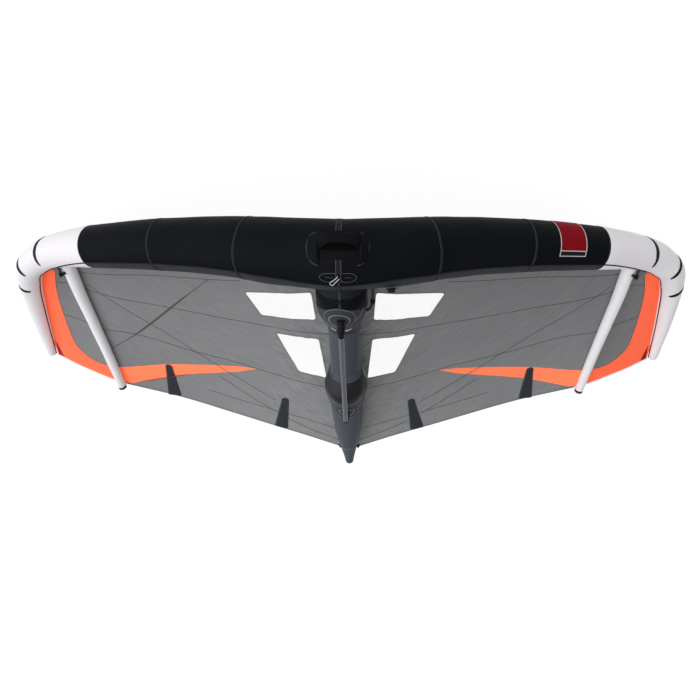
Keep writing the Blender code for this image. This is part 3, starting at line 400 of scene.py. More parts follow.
clothFinishes = {
    "blackSleeve": {"colour": (0.0030, 0.0037, 0.0052), "worn": (0.0070, 0.0085, 0.0112),
                    "rough": 0.52,
                    "gloss": 0.04},
    "bulgeBlack": {"colour": (0.0045, 0.0052, 0.0068), "worn": (0.0095, 0.0110, 0.0140),
                   "rough": 0.40,
                   "gloss": 0.34},
    # shadeBlack: painted shade, near black, for the sheet in the handle's recess
    "shadeBlack": {"colour": (0.0020, 0.0022, 0.0026), "worn": (0.0032, 0.0035, 0.0041),
                  "rough": 0.80,
                  "gloss": 0.04},
    "slateSleeve": {"colour": (0.0225, 0.026, 0.0315), "worn": (0.036, 0.041, 0.049), "rough": 0.58,
                    "gloss": 0.16},
    "strutSlate": {"colour": (0.060, 0.070, 0.086), "worn": (0.088, 0.101, 0.122), "rough": 0.60,
                   "gloss": 0.14},
    # whiteSleeve's bright is a painted glow, an emission that lifts its shaded sides
    "whiteSleeve": {"colour": (0.725, 0.700, 0.735), "worn": (0.80, 0.78, 0.81), "rough": 0.50,
                    "gloss": 0.30,
                    "bright": 0.09},
    "redLabel": {"colour": (0.25, 0.0035, 0.009), "worn": (0.20, 0.0035, 0.009), "rough": 0.55,
                 "gloss": 0.05},
    "paleLabel": {"colour": (0.62, 0.60, 0.57), "worn": (0.50, 0.49, 0.47), "rough": 0.6,
                  "gloss": 0.3},
    "paleThread": {"colour": (0.150, 0.155, 0.165), "worn": (0.21, 0.215, 0.225), "rough": 0.8,
                   "gloss": 0.2},
    "dimThread": {"colour": (0.060, 0.063, 0.070), "worn": (0.105, 0.110, 0.120), "rough": 0.8,
                  "gloss": 0.15},
    "whiteThread": {"colour": (0.66, 0.66, 0.68), "worn": (0.80, 0.80, 0.81), "rough": 0.8,
                    "gloss": 0.2},
    "seamBlack": {"colour": (0.0085, 0.0095, 0.0115), "worn": (0.017, 0.0185, 0.022), "rough": 0.7,
                  "gloss": 0.12},
    "bandBlack": {"colour": (0.0060, 0.0060, 0.0100), "worn": (0.0120, 0.0120, 0.0180),
                  "rough": 0.6, "gloss": 0.15},
    "patchSlate": {"colour": (0.030, 0.034, 0.041), "worn": (0.046, 0.052, 0.062), "rough": 0.62,
                   "gloss": 0.2},
}


def sleeveCloth(name):
    # coated woven cloth of the inflated tubes
    d = clothFinishes[name]
    f = Finish(name)
    where = f.cloth()
    broad = f.noise(2.3, 3.0)
    fine = f.noise(160.0, 2.0)
    colour = f.mix((broad * 0.9).maths("SMOOTH_MIN", 1.0, 0.2), d["colour"], d["worn"])
    thread = f.weave(where, 0.0016)
    creases = f.noise(1.0, 4.0, f.stretched(f.place(), (9.0, 26.0, 26.0)))
    low = f.bump(creases, 0.22, 0.004)
    relief = f.bump(thread * 0.5 + fine * 0.6, 0.25, 0.0004, low)
    if "bright" in d:
        # painted glow: a faint white emission that lifts the white cloth where it lies in shade
        f.set(emissionColor=(1.0, 1.0, 1.0), emissionStrength=d["bright"])
    return f.set(baseColor=colour, roughness=d["rough"] - 0.08 + fine * 0.16, normal=relief,
                 specularIorLevel=d["gloss"])


ripstopFinishes = {
    # crease: how strongly painted shade follows the folds in the colour
    "greyRipstop": {"colour": (0.190, 0.193, 0.199), "light": (0.300, 0.303, 0.310), "line": 0.86,
                    "rough": 0.42, "crease": 5.0},
    # the orange and coral bright is a painted glow, an orange emission on the cloth
    "orangeRipstop": {"colour": (0.96, 0.150, 0.062), "light": (0.98, 0.172, 0.074), "line": 0.90,
                      "rough": 0.5,
                      "bright": 0.28, "crease": 1.0},
    "coralRipstop": {"colour": (0.96, 0.235, 0.100), "light": (0.98, 0.270, 0.120), "line": 0.90,
                     "rough": 0.5,
                     "bright": 0.28, "crease": 1.0},
    "clothSeam": {"colour": (0.070, 0.071, 0.074), "light": (0.095, 0.096, 0.100), "line": 0.86,
                  "rough": 0.5,
                  "crease": 0.5},
    "clothHem": {"colour": (0.185, 0.188, 0.194), "light": (0.235, 0.237, 0.242), "line": 0.86,
                 "rough": 0.45,
                 "crease": 0.5},
    "redPrint": {"colour": (0.34, 0.008, 0.012), "light": (0.42, 0.012, 0.016), "line": 0.9,
                 "rough": 0.45,
                 "crease": 0.5},
}


def ripstop(name):
    # thin coated cloth with a grid of thicker threads
    d = ripstopFinishes[name]
    f = Finish(name)
    where = f.cloth()
    broad = f.noise(1.4, 4.0)
    lines = f.grid(where, 0.006, 0.0006)
    folds, away, along = f.streaks(0.75, 62.0, 9.0)
    cross, _, _ = f.streaks(-0.30, 11.0, 38.0)
    # more folds beside the strut, fewer towards the tips
    near = (1.0 - away * 1.6).maths("MAXIMUM", 0.22)
    # painted shade: the colour gets lighter towards the trailing edge and darker towards the tips, and
    # lighter and darker along the folds, where light and shade fall; the broad noise is the cloth's own
    # uneven tone
    paintedShade = along * 0.30 - away * 0.34 + 0.17
    worn = (folds * 0.65 + cross * 0.35 - 0.5) * near * d["crease"] + broad * 0.5 + 0.25 + paintedShade
    plain = f.mix(worn, d["colour"], d["light"])
    dark = tuple(c * d["line"] for c in d["colour"])
    colour = f.mix(lines * 0.35, plain, dark)
    low = f.bump((folds * 0.6 + cross * 0.4) * near, 0.95, 0.022)
    relief = f.bump(lines + f.noise(300.0, 2.0) * 0.3, 0.18, 0.0003, low)
    if "bright" in d:
        # painted glow: an orange emission that makes the orange cloth brighter than its light makes it
        f.set(emissionColor=(1.0, 0.10, 0.04), emissionStrength=d["bright"])
    return f.set(baseColor=colour, roughness=d["rough"] + f.noise(40.0) * 0.12 - 0.06,
                 normal=relief,
                 specularIorLevel=0.25)


def windowFilm():
    # clear film: faint, glossy, a little milky at its folds
    f = Finish("windowFilm")
    haze = f.noise(3.0, 4.0, f.stretched(f.place(), (6.0, 1.5, 1.0), 0.4))
    relief = f.bump(f.noise(1.0, 3.0, f.stretched(f.place(), (14.0, 5.0, 5.0), 0.3)), 0.2, 0.006)
    f.material.surface_render_method = "BLENDED"
    return f.set(baseColor=(0.97, 0.975, 0.98), roughness=0.12, alpha=haze * 0.05 + 0.015,
                 normal=relief)


def bladderFilm():
    f = Finish("bladderFilm")
    cloud = f.noise(9.0, 3.0)
    colour = f.mix(cloud, (0.46, 0.47, 0.49), (0.58, 0.59, 0.61))
    return f.set(baseColor=colour, roughness=0.3 + cloud * 0.1,
                 normal=f.bump(f.noise(40.0, 3.0), 0.3, 0.002))


def webbing():
    # herringbone strap
    f = Finish("webbing")
    x, y, z = f.axes(f.place(), 3)
    ribs = ((x + z * 0.8 + y * 0.6) * (2 * pi / 0.0022)).maths("SINE")
    cross = ((x - z * 0.8 - y * 0.6) * (2 * pi / 0.0022)).maths("SINE")
    fuzz = f.noise(420.0, 2.0)
    colour = f.mix(ribs * 0.25 + fuzz * 0.5, (0.0030, 0.0030, 0.0036), (0.0085, 0.0085, 0.0095))
    return f.set(baseColor=colour, roughness=0.72 + fuzz * 0.2, specularIorLevel=0.10,
                 normal=f.bump(ribs * cross + fuzz, 0.5, 0.0004))


def rubber():
    f = Finish("softRubber")
    colour = (0.012, 0.012, 0.013)
    dust = f.noise(60.0, 4.0)
    tone = f.mix(dust * 0.6, colour, tuple(c * 2.4 for c in colour))
    return f.set(baseColor=tone, roughness=0.55 + dust * 0.2,
                 normal=f.bump(f.noise(500.0, 2.0), 0.35, 0.0004))


def plastic(name, colour, rough=0.38, gloss=0.5):
    f = Finish(name)
    grain = f.noise(900.0, 2.0)
    wear = f.noise(22.0, 4.0)
    tone = f.mix(wear * 0.5, colour, tuple(min(1.0, c * 1.5 + 0.004) for c in colour))
    return f.set(baseColor=tone, roughness=rough + wear * 0.14, normal=f.bump(grain, 0.25, 0.0002),
                 specularIorLevel=gloss)


def anodised():
    # the boom's tube, drawn and anodised along its length
    f = Finish("anodised")
    drawn = f.noise(1.0, 4.0, f.stretched(f.place(), (700.0, 3.0, 700.0)), 0.6)
    spots = f.noise(30.0, 4.0)
    colour = f.mix(drawn * 0.6 + spots * 0.3, (0.125, 0.135, 0.148), (0.215, 0.228, 0.244))
    return f.set(baseColor=colour, metallic=0.5, roughness=0.30 + drawn * 0.16,
                 normal=f.bump(drawn, 0.18, 0.0003))


def glassRod():
    f = Finish("glassRod")
    fibres = f.noise(1.0, 3.0, f.stretched(f.place(), (900.0, 20.0, 900.0)))
    colour = f.mix(fibres, (0.035, 0.035, 0.038), (0.075, 0.075, 0.08))
    return f.set(baseColor=colour, roughness=0.35 + fibres * 0.1,
                 normal=f.bump(fibres, 0.2, 0.0003))


def braid():
    # white cord, its strands wound both ways
    f = Finish("braid")
    x, y = f.axes(f.place())
    strands = ((x + y) * (2 * pi / 0.003)).maths("SINE") * ((x - y) * (2 * pi / 0.003)).maths("SINE")
    colour = f.mix(strands * 0.3 + 0.5, (0.50, 0.50, 0.50), (0.80, 0.80, 0.79))
    return f.set(baseColor=colour, roughness=0.75, normal=f.bump(strands, 0.5, 0.0006))


finishes = {name: sleeveCloth(name) for name in clothFinishes}
finishes.update({name: ripstop(name) for name in ripstopFinishes})
finishes.update({
    "windowFilm": windowFilm(), "bladderFilm": bladderFilm(), "webbing": webbing(),
    "rubber": rubber(),
    "blackPlastic": plastic("blackPlastic", (0.0030, 0.0030, 0.0034), 0.46, 0.14),
    "greyPlastic": plastic("greyPlastic", (0.085, 0.088, 0.094), 0.40, 0.3),
    "anodised": anodised(), "glassRod": glassRod(), "braid": braid(),
})
print("finishes ready:", len(finishes))


# making pieces
def only(piece):
    bpy.ops.object.select_all(action="DESELECT")
    piece.select_set(True)
    bpy.context.view_layer.objects.active = piece


def modify(piece, kind, **settings):
    only(piece)
    bpy.ops.object.modifier_add(type=kind)
    modifier = piece.modifiers[-1]
    for name, value in settings.items():
        setattr(modifier, name, value)
    bpy.ops.object.modifier_apply(modifier=modifier.name)


def thicken(piece, thick):
    modify(piece, "SOLIDIFY", thickness=thick, offset=-1)


def rejoined(piece, weld=None, outward=True):
    # join corners closer than weld and turn the faces outward
    only(piece)
    bpy.ops.object.mode_set(mode="EDIT")
    bpy.ops.mesh.select_all(action="SELECT")
    if weld:
        bpy.ops.mesh.remove_doubles(threshold=weld)
    if outward:
        bpy.ops.mesh.normals_make_consistent(inside=False)
    bpy.ops.object.mode_set(mode="OBJECT")
    return piece


def fromFaces(name, bm):
    # a piece from a finished bmesh
    mesh = bpy.data.meshes.new(name)
    bm.to_mesh(mesh)
    bm.free()
    piece = bpy.data.objects.new(name, mesh)
    bpy.context.collection.objects.link(piece)
    return piece


def settle(piece, finish, body="wing", slot=None, nodes=(), smooth=40):
    # finish a piece: its place goes into its mesh, and it rides on its body
    only(piece)
    bpy.ops.object.transform_apply(location=True, rotation=True, scale=True)
    if smooth:
        bpy.ops.object.shade_smooth_by_angle(angle=radians(smooth))
    if finish is not None:
        piece.data.materials.clear()
        piece.data.materials.append(finishes[finish])
    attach(piece, body)
    if nodes:
        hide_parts(*nodes)
    return piece


def sewn(name, columns, rows, place, size, close=False):
    # a flat cloth grid laid on the wing: place(u, v) for shares u and v, size in metres for its weave
    bpy.ops.object.select_all(action="DESELECT")
    bpy.ops.mesh.primitive_grid_add(x_subdivisions=columns, y_subdivisions=rows, size=1)
    piece = bpy.context.object
    piece.name = piece.data.name = name
    for v in piece.data.vertices:
        v.co = place(v.co.x + 0.5, v.co.y + 0.5)
    for loop in piece.data.uv_layers.active.data:
        loop.uv = (loop.uv[0] * size[0], loop.uv[1] * size[1])
    return rejoined(piece, 0.00002 if close else None, outward=close)


def facing(piece, outward):
    # turn the faces so that the first one looks along outward(its middle)
    face = piece.data.polygons[len(piece.data.polygons) // 2]
    if face.normal.dot(outward(face.center)) < 0:
        piece.data.flip_normals()
    return piece


def upward(p):
    return Vector((0, 0, 1))


def joined(name, pieces):
    only(pieces[0])
    for piece in pieces[1:]:
        piece.select_set(True)
    if len(pieces) > 1:
        bpy.ops.object.join()
    made = bpy.context.object
    made.name = made.data.name = name
    return made


def corded(name, points, radius, around, radii=None):
    # a round cord along points, as a bevelled curve made a mesh
    curve = bpy.data.curves.new(name, "CURVE")
    curve.dimensions = "3D"
    curve.bevel_depth = radius
    curve.bevel_resolution = around
    curve.use_fill_caps = True
    line = curve.splines.new("POLY")
    line.points.add(len(points) - 1)
    for k, p in enumerate(points):
        line.points[k].co = (*p, 1)
        line.points[k].radius = radii[k] if radii else 1.0
    piece = bpy.data.objects.new(name, curve)
    bpy.context.collection.objects.link(piece)
    only(piece)
    bpy.ops.object.convert(target="MESH")
    return bpy.context.object


def throughPoints(points, steps, closed=False):
    # a smooth line through the points
    if closed:
        ends = [points[-1]] + list(points) + [points[0], points[1]]
    else:
        ends = [points[0] * 2 - points[1]] + list(points) + [points[-1] * 2 - points[-2]]
    out = []
    for i in range(1, len(ends) - 2):
        a, b, c, d = ends[i - 1:i + 3]
        for k in range(steps):
            t = k / steps
            out.append(((b * 2) + (c - a) * t + (a * 2 - b * 5 + c * 4 - d) * t ** 2
                        + (b * 3 - a - c * 3 + d) * t ** 3) / 2)
    if not closed:
        out.append(points[-1].copy())
    return out


def evenPlaces(points, pitch, fewest):
    # (index, share of the way to the next point) for places a pitch apart
    lengths = [0.0]
    for a, b in zip(points, points[1:]):
        lengths.append(lengths[-1] + (b - a).length)
    count = max(fewest, int(round(lengths[-1] / pitch)))
    i = 0
    for k in range(count + 1):
        target = lengths[-1] * k / count
        while i < len(points) - 2 and lengths[i + 1] < target:
            i += 1
        span = lengths[i + 1] - lengths[i]
        yield i, (target - lengths[i]) / span if span else 0


def spaced(points, pitch):
    return [points[i].lerp(points[i + 1], share) for i, share in evenPlaces(points, pitch, 1)]


stitching = {"long": 0.0062, "gap": 0.0042, "wide": 0.0016, "high": 0.0009}


def stitches(name, lines, finish="paleThread", body="wing"):
    # rows of thread: each line is a list of (place, normal)
    bm = bmesh.new()
    step = stitching["long"] + stitching["gap"]
    for line in lines:
        points = [p for p, _ in line]
        total = sum((b - a).length for a, b in zip(points, points[1:]))
        count = max(1, int(total / step))
        fine = spaced(points, total / count / 2)
        for k in range(0, len(fine) - 1, 2):
            a, b = fine[k], fine[k + 1]
            way = (b - a).normalized()
            near = min(line, key=lambda row: (row[0] - a).length)
            up = (near[1] - way * near[1].dot(way)).normalized()
            across = way.cross(up) * (stitching["wide"] / 2)
            end = a + way * stitching["long"]
            low, high = up * -0.0004, up * stitching["high"]
            ring = []
            for p in (a, end):
                ring.append([bm.verts.new(p + across + low), bm.verts.new(p + across * 0.6 + high),
                             bm.verts.new(p - across * 0.6 + high), bm.verts.new(p - across + low)])
            for j in range(4):
                n = (j + 1) % 4
                bm.faces.new((ring[0][j], ring[0][n], ring[1][n], ring[1][j]))
            bm.faces.new(ring[0][::-1])
            bm.faces.new(ring[1])
    bmesh.ops.recalc_face_normals(bm, faces=bm.faces)
    piece = fromFaces(name, bm)
    piece.data.uv_layers.new(name="UVMap")
    return settle(piece, finish, body, smooth=0)


print("tools ready")


# camera
cameraView = {"place": (-0.1785, -4.1991, 3.2566), "yaw": 0.0368, "pitch": 0.5829, "roll": 0.0272,
              "focal": 870.0, "picture": 700}


def makeCamera():
    d = cameraView
    forward = Vector((sin(d["yaw"]) * cos(d["pitch"]), cos(d["yaw"]) * cos(d["pitch"]),
                      -sin(d["pitch"])))
    right = Vector((cos(d["yaw"]), -sin(d["yaw"]), 0))
    up = right.cross(forward)
    across = right * cos(d["roll"]) + up * sin(d["roll"])
    above = up * cos(d["roll"]) - right * sin(d["roll"])
    bpy.ops.object.camera_add(location=d["place"])
    camera = bpy.context.object
    # the picture is taken upside down, so the camera is rolled half a turn
    camera.rotation_euler = Matrix((-across, -above, -forward)).transposed().to_euler()
    camera.data.sensor_width = 36
    camera.data.lens = 36 * d["focal"] / d["picture"]
    camera.data.clip_end = 200
    bpy.context.scene.camera = camera


makeCamera()

lighting = {
    "world": 0.30,
    "key": {"from": (0.86, -0.60, 0.66), "strength": 2.75, "angle": 100},
    "fill": {"from": (-0.5, -0.6, 0.9), "strength": 0.20, "angle": 80},
    "floor": {"colour": 0.82, "seen": 0.10, "glow": 0.95},
}


def makeLight():
    world = bpy.data.worlds.new("studio")
    world.use_nodes = True
    world.node_tree.nodes["Background"].inputs[0].default_value = (1, 1, 1, 1)
    world.node_tree.nodes["Background"].inputs[1].default_value = lighting["world"]
    bpy.context.scene.world = world
    for name in ("key", "fill"):
        d = lighting[name]
        bpy.ops.object.light_add(type="SUN")
        lamp = bpy.context.object
        lamp.name = name
        lamp.rotation_euler = Vector(d["from"]).to_track_quat("Z", "Y").to_euler()
        lamp.data.energy = d["strength"]
        lamp.data.angle = radians(d["angle"])


def makeFloor():
    d = lighting["floor"]
    bpy.ops.object.select_all(action="DESELECT")
    bpy.ops.mesh.primitive_plane_add(size=120)
    floorPlane = bpy.context.object
    floorPlane.name = "floor"
    f = Finish("floorPaper")
    path = f.node("LightPath")
    rays = path.socket.node.outputs
    seen = Wire(f, rays["Is Camera Ray"]).maths("MAXIMUM", Wire(f, rays["Is Glossy Ray"]))
    seen = seen.maths("MAXIMUM", Wire(f, rays["Is Transmission Ray"]))
    share = seen * (d["seen"] - d["colour"]) + d["colour"]
    paper = f.node("CombineColor", None, {0: share, 1: share, 2: share})
    f.set(baseColor=paper, roughness=0.9, specularIorLevel=0.0, emissionColor=(1.0, 1.0, 1.0))
    f.feed(f.surface.inputs["Emission Strength"], seen * d["glow"])
    floorPlane.data.materials.append(f.material)


makeLight()
makeFloor()
bpy.context.scene.view_settings.view_transform = "Standard"
print("camera, light and floor ready")


# leading edge
edgeSleeves = {
    "around": 84,
    "pitch": 0.014,
    "wall": 0.0014,
    "seams": {1: (1.80, 3.82, 5.86), -1: (1.62, 3.76, 5.74)},
    "tipSeams": (7.62, 8.83, 9.75),
    "rearFrom": 1.5,          # the slate band starts this far behind the piping, in degrees
    "rearTo": 215,
    "pucker": 0.0011,
    "groove": 0.0022,
    "tipRound": 0.028,
    "weld": 0.0004,           # where the left and right halves meet
    "bladderIn": 0.0045, "bladderShort": 0.2,
    "gap": 0.004,             # in stations, between two sleeves at their seam
}

# place along the leading edge and its angle for the piping, in degrees
pipingPlaces = ((0, 98), (0.45, 95), (1, 88), (2, 86), (4, 84), (6, 86), (7, 103), (8, 130),
                (9, 155),
                (10, 166), (11, 172), (12, 172))


def pipingAngle(s):
    stations, turns = zip(*pipingPlaces)
    return smoothAt(stations, turns, s)


@lru_cache(None)
def edgeReach(s):
    # distance along the tube's middle from the wing's middle
    steps = 40
    points = [edgeFrame(round(s * k / steps, 5))[0] for k in range(steps + 1)]
    return sum((b - a).length for a, b in zip(points, points[1:]))


def seamSwell(s, angle, side):
    # the cloth is drawn in at a seam and gathers a little beside it
    d = edgeSleeves
    lift = 0.0
    for seam in d["seams"][side] + d["tipSeams"]:
        away = abs(edgeReach(round(s, 3)) - edgeReach(seam))
        if away < 0.2:
            lift -= d["groove"] * exp(-(away / 0.011) ** 2)
            gather = noise.noise(Vector((angle * 9, seam * 7.3, side * 3.1)))
            lift += d["pucker"] * gather * exp(-away / 0.045)
    r = edgeFrame(round(s, 5))[1]
    slack = noise.noise(Vector((s * 1.9, angle * 1.3, side * 5.0)))
    return lift + slack * 0.0016 * r / 0.17


def sleeve(name, start, end, side, closed=False, lift=0.0, seams=True):
    d = edgeSleeves
    first, last = (edgeReach(start) if start else 0.0), edgeReach(end)
    columns = max(4, int((last - first) / d["pitch"]))
    # places along the tube, evenly spaced
    marks = [edgeReach(round(lerp(start, end, k / 60), 5)) for k in range(61)]

    def station(u):
        want = lerp(marks[0], marks[-1], u)
        k = max(i for i in range(60) if marks[i] <= want)
        return lerp(start, end, (k + (want - marks[k]) / (marks[k + 1] - marks[k])) / 60)

    girth = 2 * pi * edgeFrame(round((start + end) / 2, 5))[1]

    def place(u, v):
        s = round(station(min(u, 1.0)), 4)
        angle = 2 * pi * v - pi * 0.75
        swell = seamSwell(s, angle if v < 0.9999 else -pi * 0.75, side) if seams else 0.0
        if closed:
            left = marks[-1] - lerp(marks[0], marks[-1], u)
            if left < d["tipRound"]:
                r = edgeFrame(s)[1]
                swell -= r * (1 - dome(1 - left / d["tipRound"]))
        return edgePoint(s, angle, lift + swell, side)

    return sewn(name, columns, d["around"], place, (last - first, girth), close=True)


def splitAtPiping(piece, names):
    # behind the piping the cloth is another colour: faces there take the second finish
    piece.data.materials.clear()
    for name in names:
        piece.data.materials.append(finishes[name])
    for face in piece.data.polygons:
        c = face.center
        s = nearStation(c)
        middle, _, out, up, _ = edgeFrame(s)
        q = mirrored(c, 1 if c.x >= 0 else -1) - middle
        turn = (180 / pi) * atanTurn(q.dot(out), q.dot(up))
        edge = pipingAngle(s) + edgeSleeves["rearFrom"]
        face.material_index = 1 if edge < turn < edgeSleeves["rearTo"] else 0


def atanTurn(x, y):
    turn = atan2(y, x)
    return turn + 2 * pi if turn < -pi / 2 else turn


stationTable = [(edgeFrame(round(k / 20, 5))[0], k / 20) for k in range(edgeEnd * 20 + 1)]


def nearStation(p):
    q = mirrored(p, 1 if p.x >= 0 else -1)
    return min(stationTable, key=lambda row: (row[0] - q).length_squared)[1]


def makeEdge():
    d = edgeSleeves
    for side, word in hands:
        seam, _, colour = d["seams"][side]
        black = sleeve(f"edgeSleeve_{word}", seam + d["gap"], colour, side)
        splitAtPiping(black, ("blackSleeve", "slateSleeve"))
        thicken(black, d["wall"])
        settle(black, None, slot="black_sleeve", nodes=(f"leading_edge_{word}",))
        tip = sleeve(f"tipSleeve_{word}", colour + d["gap"], float(edgeEnd), side, closed=True)
        thicken(tip, d["wall"])
        settle(tip, "whiteSleeve", slot="white_sleeve", nodes=(f"tip_sleeve_{word}",))
    halves = [sleeve("edgeHalf", 0.0, d["seams"][side][0], side) for side in (1, -1)]
    centre = rejoined(joined("edgeSleeve_centre", halves), d["weld"], outward=False)
    splitAtPiping(centre, ("blackSleeve", "slateSleeve"))
    thicken(centre, d["wall"])
    settle(centre, None, slot="black_sleeve", nodes=("leading_edge_centre",))
    films = [sleeve("film", 0.0, edgeEnd - d["bladderShort"], side, closed=True,
                    lift=-d["bladderIn"], seams=False)
             for side in (1, -1)]
    film = rejoined(joined("edgeBladder", films), d["weld"], outward=False)
    settle(film, "bladderFilm", slot="bladder_film", nodes=("leading_edge_bladder",))


makeEdge()
print("leading edge ready")


# cloth panels
clothPanels = {
    "pitch": 0.0145,
    "thick": 0.0008,
    "windowFront": ((0.274, 0.3136), (0.087, 0.2655), (0.0805, 0.372), (0.236, 0.391)),
    "windowRear": ((0.200, 0.4535), (0.0767, 0.4518), (0.062, 0.618), (0.1445, 0.601)),
    "trimInner": ((0.869, 0.420), (0.884, 0.480), (0.889, 0.559), (0.883, 0.643), (0.8685, 0.680),
                  (0.827, 0.705), (0.782, 0.708)),
    "wedgeRoot": (0.757, 0.708),
    "wedgeTop": ((0.337, 0.6265),),
    "wedgePoint": (0.276, 0.621),
    "wedgeBottom": ((0.340, 0.650),),
    "wedgeFoot": 0.722,
    "trimStation": 8.55,
    "trimEnd": 11.7,
    "trimEndSpan": 0.9615,
    "cornerRound": 0.012,
    "filmPitch": 0.03, "filmThick": 0.0005, "trimPitch": 0.022,
}


def flat(shares):
    return [Vector((halfSpan * x, nose + chord * y)) for x, y in shares]


def edgeRun(start, end, steps):
    out = []
    for k in range(steps + 1):
        p = edgePoint(lerp(start, end, k / steps), wingShape["clothAngle"], -0.004)
        out.append(Vector((p.x, p.y)))
    return out


def trailingRun(start, end, pitch=0.03):
    count = max(1, int(ceil(abs(end - start) * halfSpan / pitch)))
    return [Vector(trailingPoint(lerp(start, end, k / count))[:2]) for k in range(count + 1)]


def loopRuns(points):
    return list(zip(points, points[1:] + points[:1]))


def signedArea(points):
    return sum(a.x * b.y - b.x * a.y for a, b in loopRuns(points)) / 2


def roundCorners(points, reach):
    out = []
    count = len(points)
    for i, p in enumerate(points):
        a = p + (points[i - 1] - p).normalized() * reach
        b = p + (points[(i + 1) % count] - p).normalized() * reach
        for k in range(5):
            t = k / 4
            out.append(a * (1 - t) ** 2 + p * (2 * t * (1 - t)) + b * t * t)
    return out


def divided(points, pitch):
    out = []
    for a, b in loopRuns(points):
        count = max(1, int(ceil((b - a).length / pitch)))
        out.extend(a.lerp(b, k / count) for k in range(count))
    return out


def insideOf(p, points):
    found = False
    x, y = p
    for a, b in loopRuns(points):
        if (a.y > y) != (b.y > y) and x < (b.x - a.x) * (y - a.y) / (b.y - a.y) + a.x:
            found = not found
    return found


# where small creases gather: middle, reach, direction in degrees, size and pitch in metres
creasePlaces = (
    ((0.32, -0.24), 0.20, 62, 0.0044, 0.030), ((0.16, -0.06), 0.16, 40, 0.0046, 0.030),
    ((0.30, 0.05), 0.22, 70, 0.0032, 0.030), ((0.13, 0.22), 0.12, 35, 0.0038, 0.030),
    ((0.62, 0.05), 0.34, 78, 0.0030, 0.034), ((1.05, 0.30), 0.30, 84, 0.0024, 0.034),
    ((0.30, 0.45), 0.26, 24, 0.0028, 0.030), ((0.85, -0.25), 0.30, 100, 0.0022, 0.034),
    ((1.25, 0.02), 0.30, 60, 0.0020, 0.034), ((0.17, -0.38), 0.12, 50, 0.0040, 0.020),
    ((0.17, -0.14), 0.12, 46, 0.0042, 0.020), ((0.15, 0.10), 0.12, 40, 0.0036, 0.020),
    ((0.55, 0.60), 0.30, 15, 0.0018, 0.026),
)


def creases(x, y):
    rise = 0.0
    ax = abs(x)
    for (cx, cy), reach, turn, size, pitch in creasePlaces:
        d2 = ((ax - cx) ** 2 + (y - cy) ** 2) / reach ** 2
        if d2 < 5:
            a = radians(turn)
            across = (ax - cx) * cos(a) + (y - cy) * sin(a)
            along = -(ax - cx) * sin(a) + (y - cy) * cos(a)
            wave = noise.noise(Vector((across / pitch, along / 0.28, cx * 9 + (4 if x < 0 else 0))))
            rise += size * wave * exp(-d2)
    rise += 0.0014 * noise.noise(Vector((x * 3.1, y * 9.0, 2.0)))
    return rise


def clothPanel(name, outline, holes=(), pitch=None, lift=0.0, thick=None, wrinkled=True):
    # a flat pattern cut out and laid on the wing's curve
    pitch = pitch or clothPanels["pitch"]
    outline = divided(outline, pitch)
    holes = [divided(hole, pitch) for hole in holes]
    points, runs = [], []
    for loop in [outline] + holes:
        start = len(points)
        points.extend(loop)
        runs.extend((start + k, start + (k + 1) % len(loop)) for k in range(len(loop)))
    taken = {(int(floor(p.x / pitch)), int(floor(p.y / pitch))) for p in points}
    low = [min(p[k] for p in outline) for k in (0, 1)]
    high = [max(p[k] for p in outline) for k in (0, 1)]
    tall = pitch * sqrt(3) / 2
    for j in range(int((high[1] - low[1]) / tall) + 1):
        y = low[1] + (j + 0.5) * tall
        crossings = sorted((b.x - a.x) * (y - a.y) / (b.y - a.y) + a.x
                           for loop in [outline] + holes for a,
                           b in loopRuns(loop) if (a.y > y) != (b.y > y))
        for start, end in zip(crossings[::2], crossings[1::2]):
            i = int(ceil((start - low[0]) / pitch))
            while low[0] + (i + 0.5 * (j % 2)) * pitch < end:
                p = Vector((low[0] + (i + 0.5 * (j % 2)) * pitch, y))
                if p.x > start and (int(floor(p.x / pitch)), int(floor(p.y / pitch))) not in taken:
                    points.append(p)
                i += 1
    flatPoints, _, faces, _, _, _ = delaunay_2d_cdt(points, runs, [], 0, 0.00002)
    bm = bmesh.new()
    weave = bm.loops.layers.uv.new("UVMap")
    made = {}
    for face in faces:
        corners = [flatPoints[i] for i in face]
        middle = sum(corners, Vector((0, 0))) / len(corners)
        if abs(signedArea(corners)) < 1e-9 or not insideOf(middle, outline) \
                or any(insideOf(middle, hole) for hole in holes):
            continue
        for i in face:
            if i not in made:
                p = flatPoints[i]
                made[i] = bm.verts.new(onCloth(p.x, p.y,
                                               lift + (creases(p.x, p.y) if wrinkled else 0.0)))
        turned = face if signedArea(corners) > 0 else face[::-1]
        new = bm.faces.new([made[i] for i in turned])
        for loop, i in zip(new.loops, turned):
            loop[weave].uv = flatPoints[i]
    piece = fromFaces(name, bm)
    area = sum(p.area for p in piece.data.polygons)
    thicken(piece, thick or clothPanels["thick"])
    return piece, area


def mirrorPlan(points):
    return [Vector((-p.x, p.y)) for p in points]


def trimInner():
    return throughPoints(flat(clothPanels["trimInner"]), 6)


def canopyOutline():
    d = clothPanels
    front = edgeRun(0.0, d["trimStation"], 90)
    front[0].x = 0.0
    wedge = flat((d["wedgeRoot"],
                  )) + flat(d["wedgeTop"]) + flat((d["wedgePoint"],)) + flat(d["wedgeBottom"])
    back = trailingRun(d["wedgeFoot"], 0.0)
    half = front + trimInner() + wedge + back
    return half + mirrorPlan(half)[-2:0:-1]


def trimOutline():
    d = clothPanels
    front = edgeRun(d["trimStation"], d["trimEnd"], 34)
    back = trailingRun(d["trimEndSpan"], d["wedgeRoot"][0])
    return front + back + flat((d["wedgeRoot"],)) + trimInner()[::-1]


def wedgeOutline():
    d = clothPanels
    wedge = flat(d["wedgeBottom"])[::-1] + flat((d["wedgePoint"],)) + flat(d["wedgeTop"])[::-1]
    return flat((d["wedgeRoot"],)) + trailingRun(d["wedgeRoot"][0], d["wedgeFoot"]) + wedge


def turnedOut(points, side):
    # counter-clockwise plan for one side
    points = points if side > 0 else mirrorPlan(points)
    return points if signedArea(points) > 0 else points[::-1]


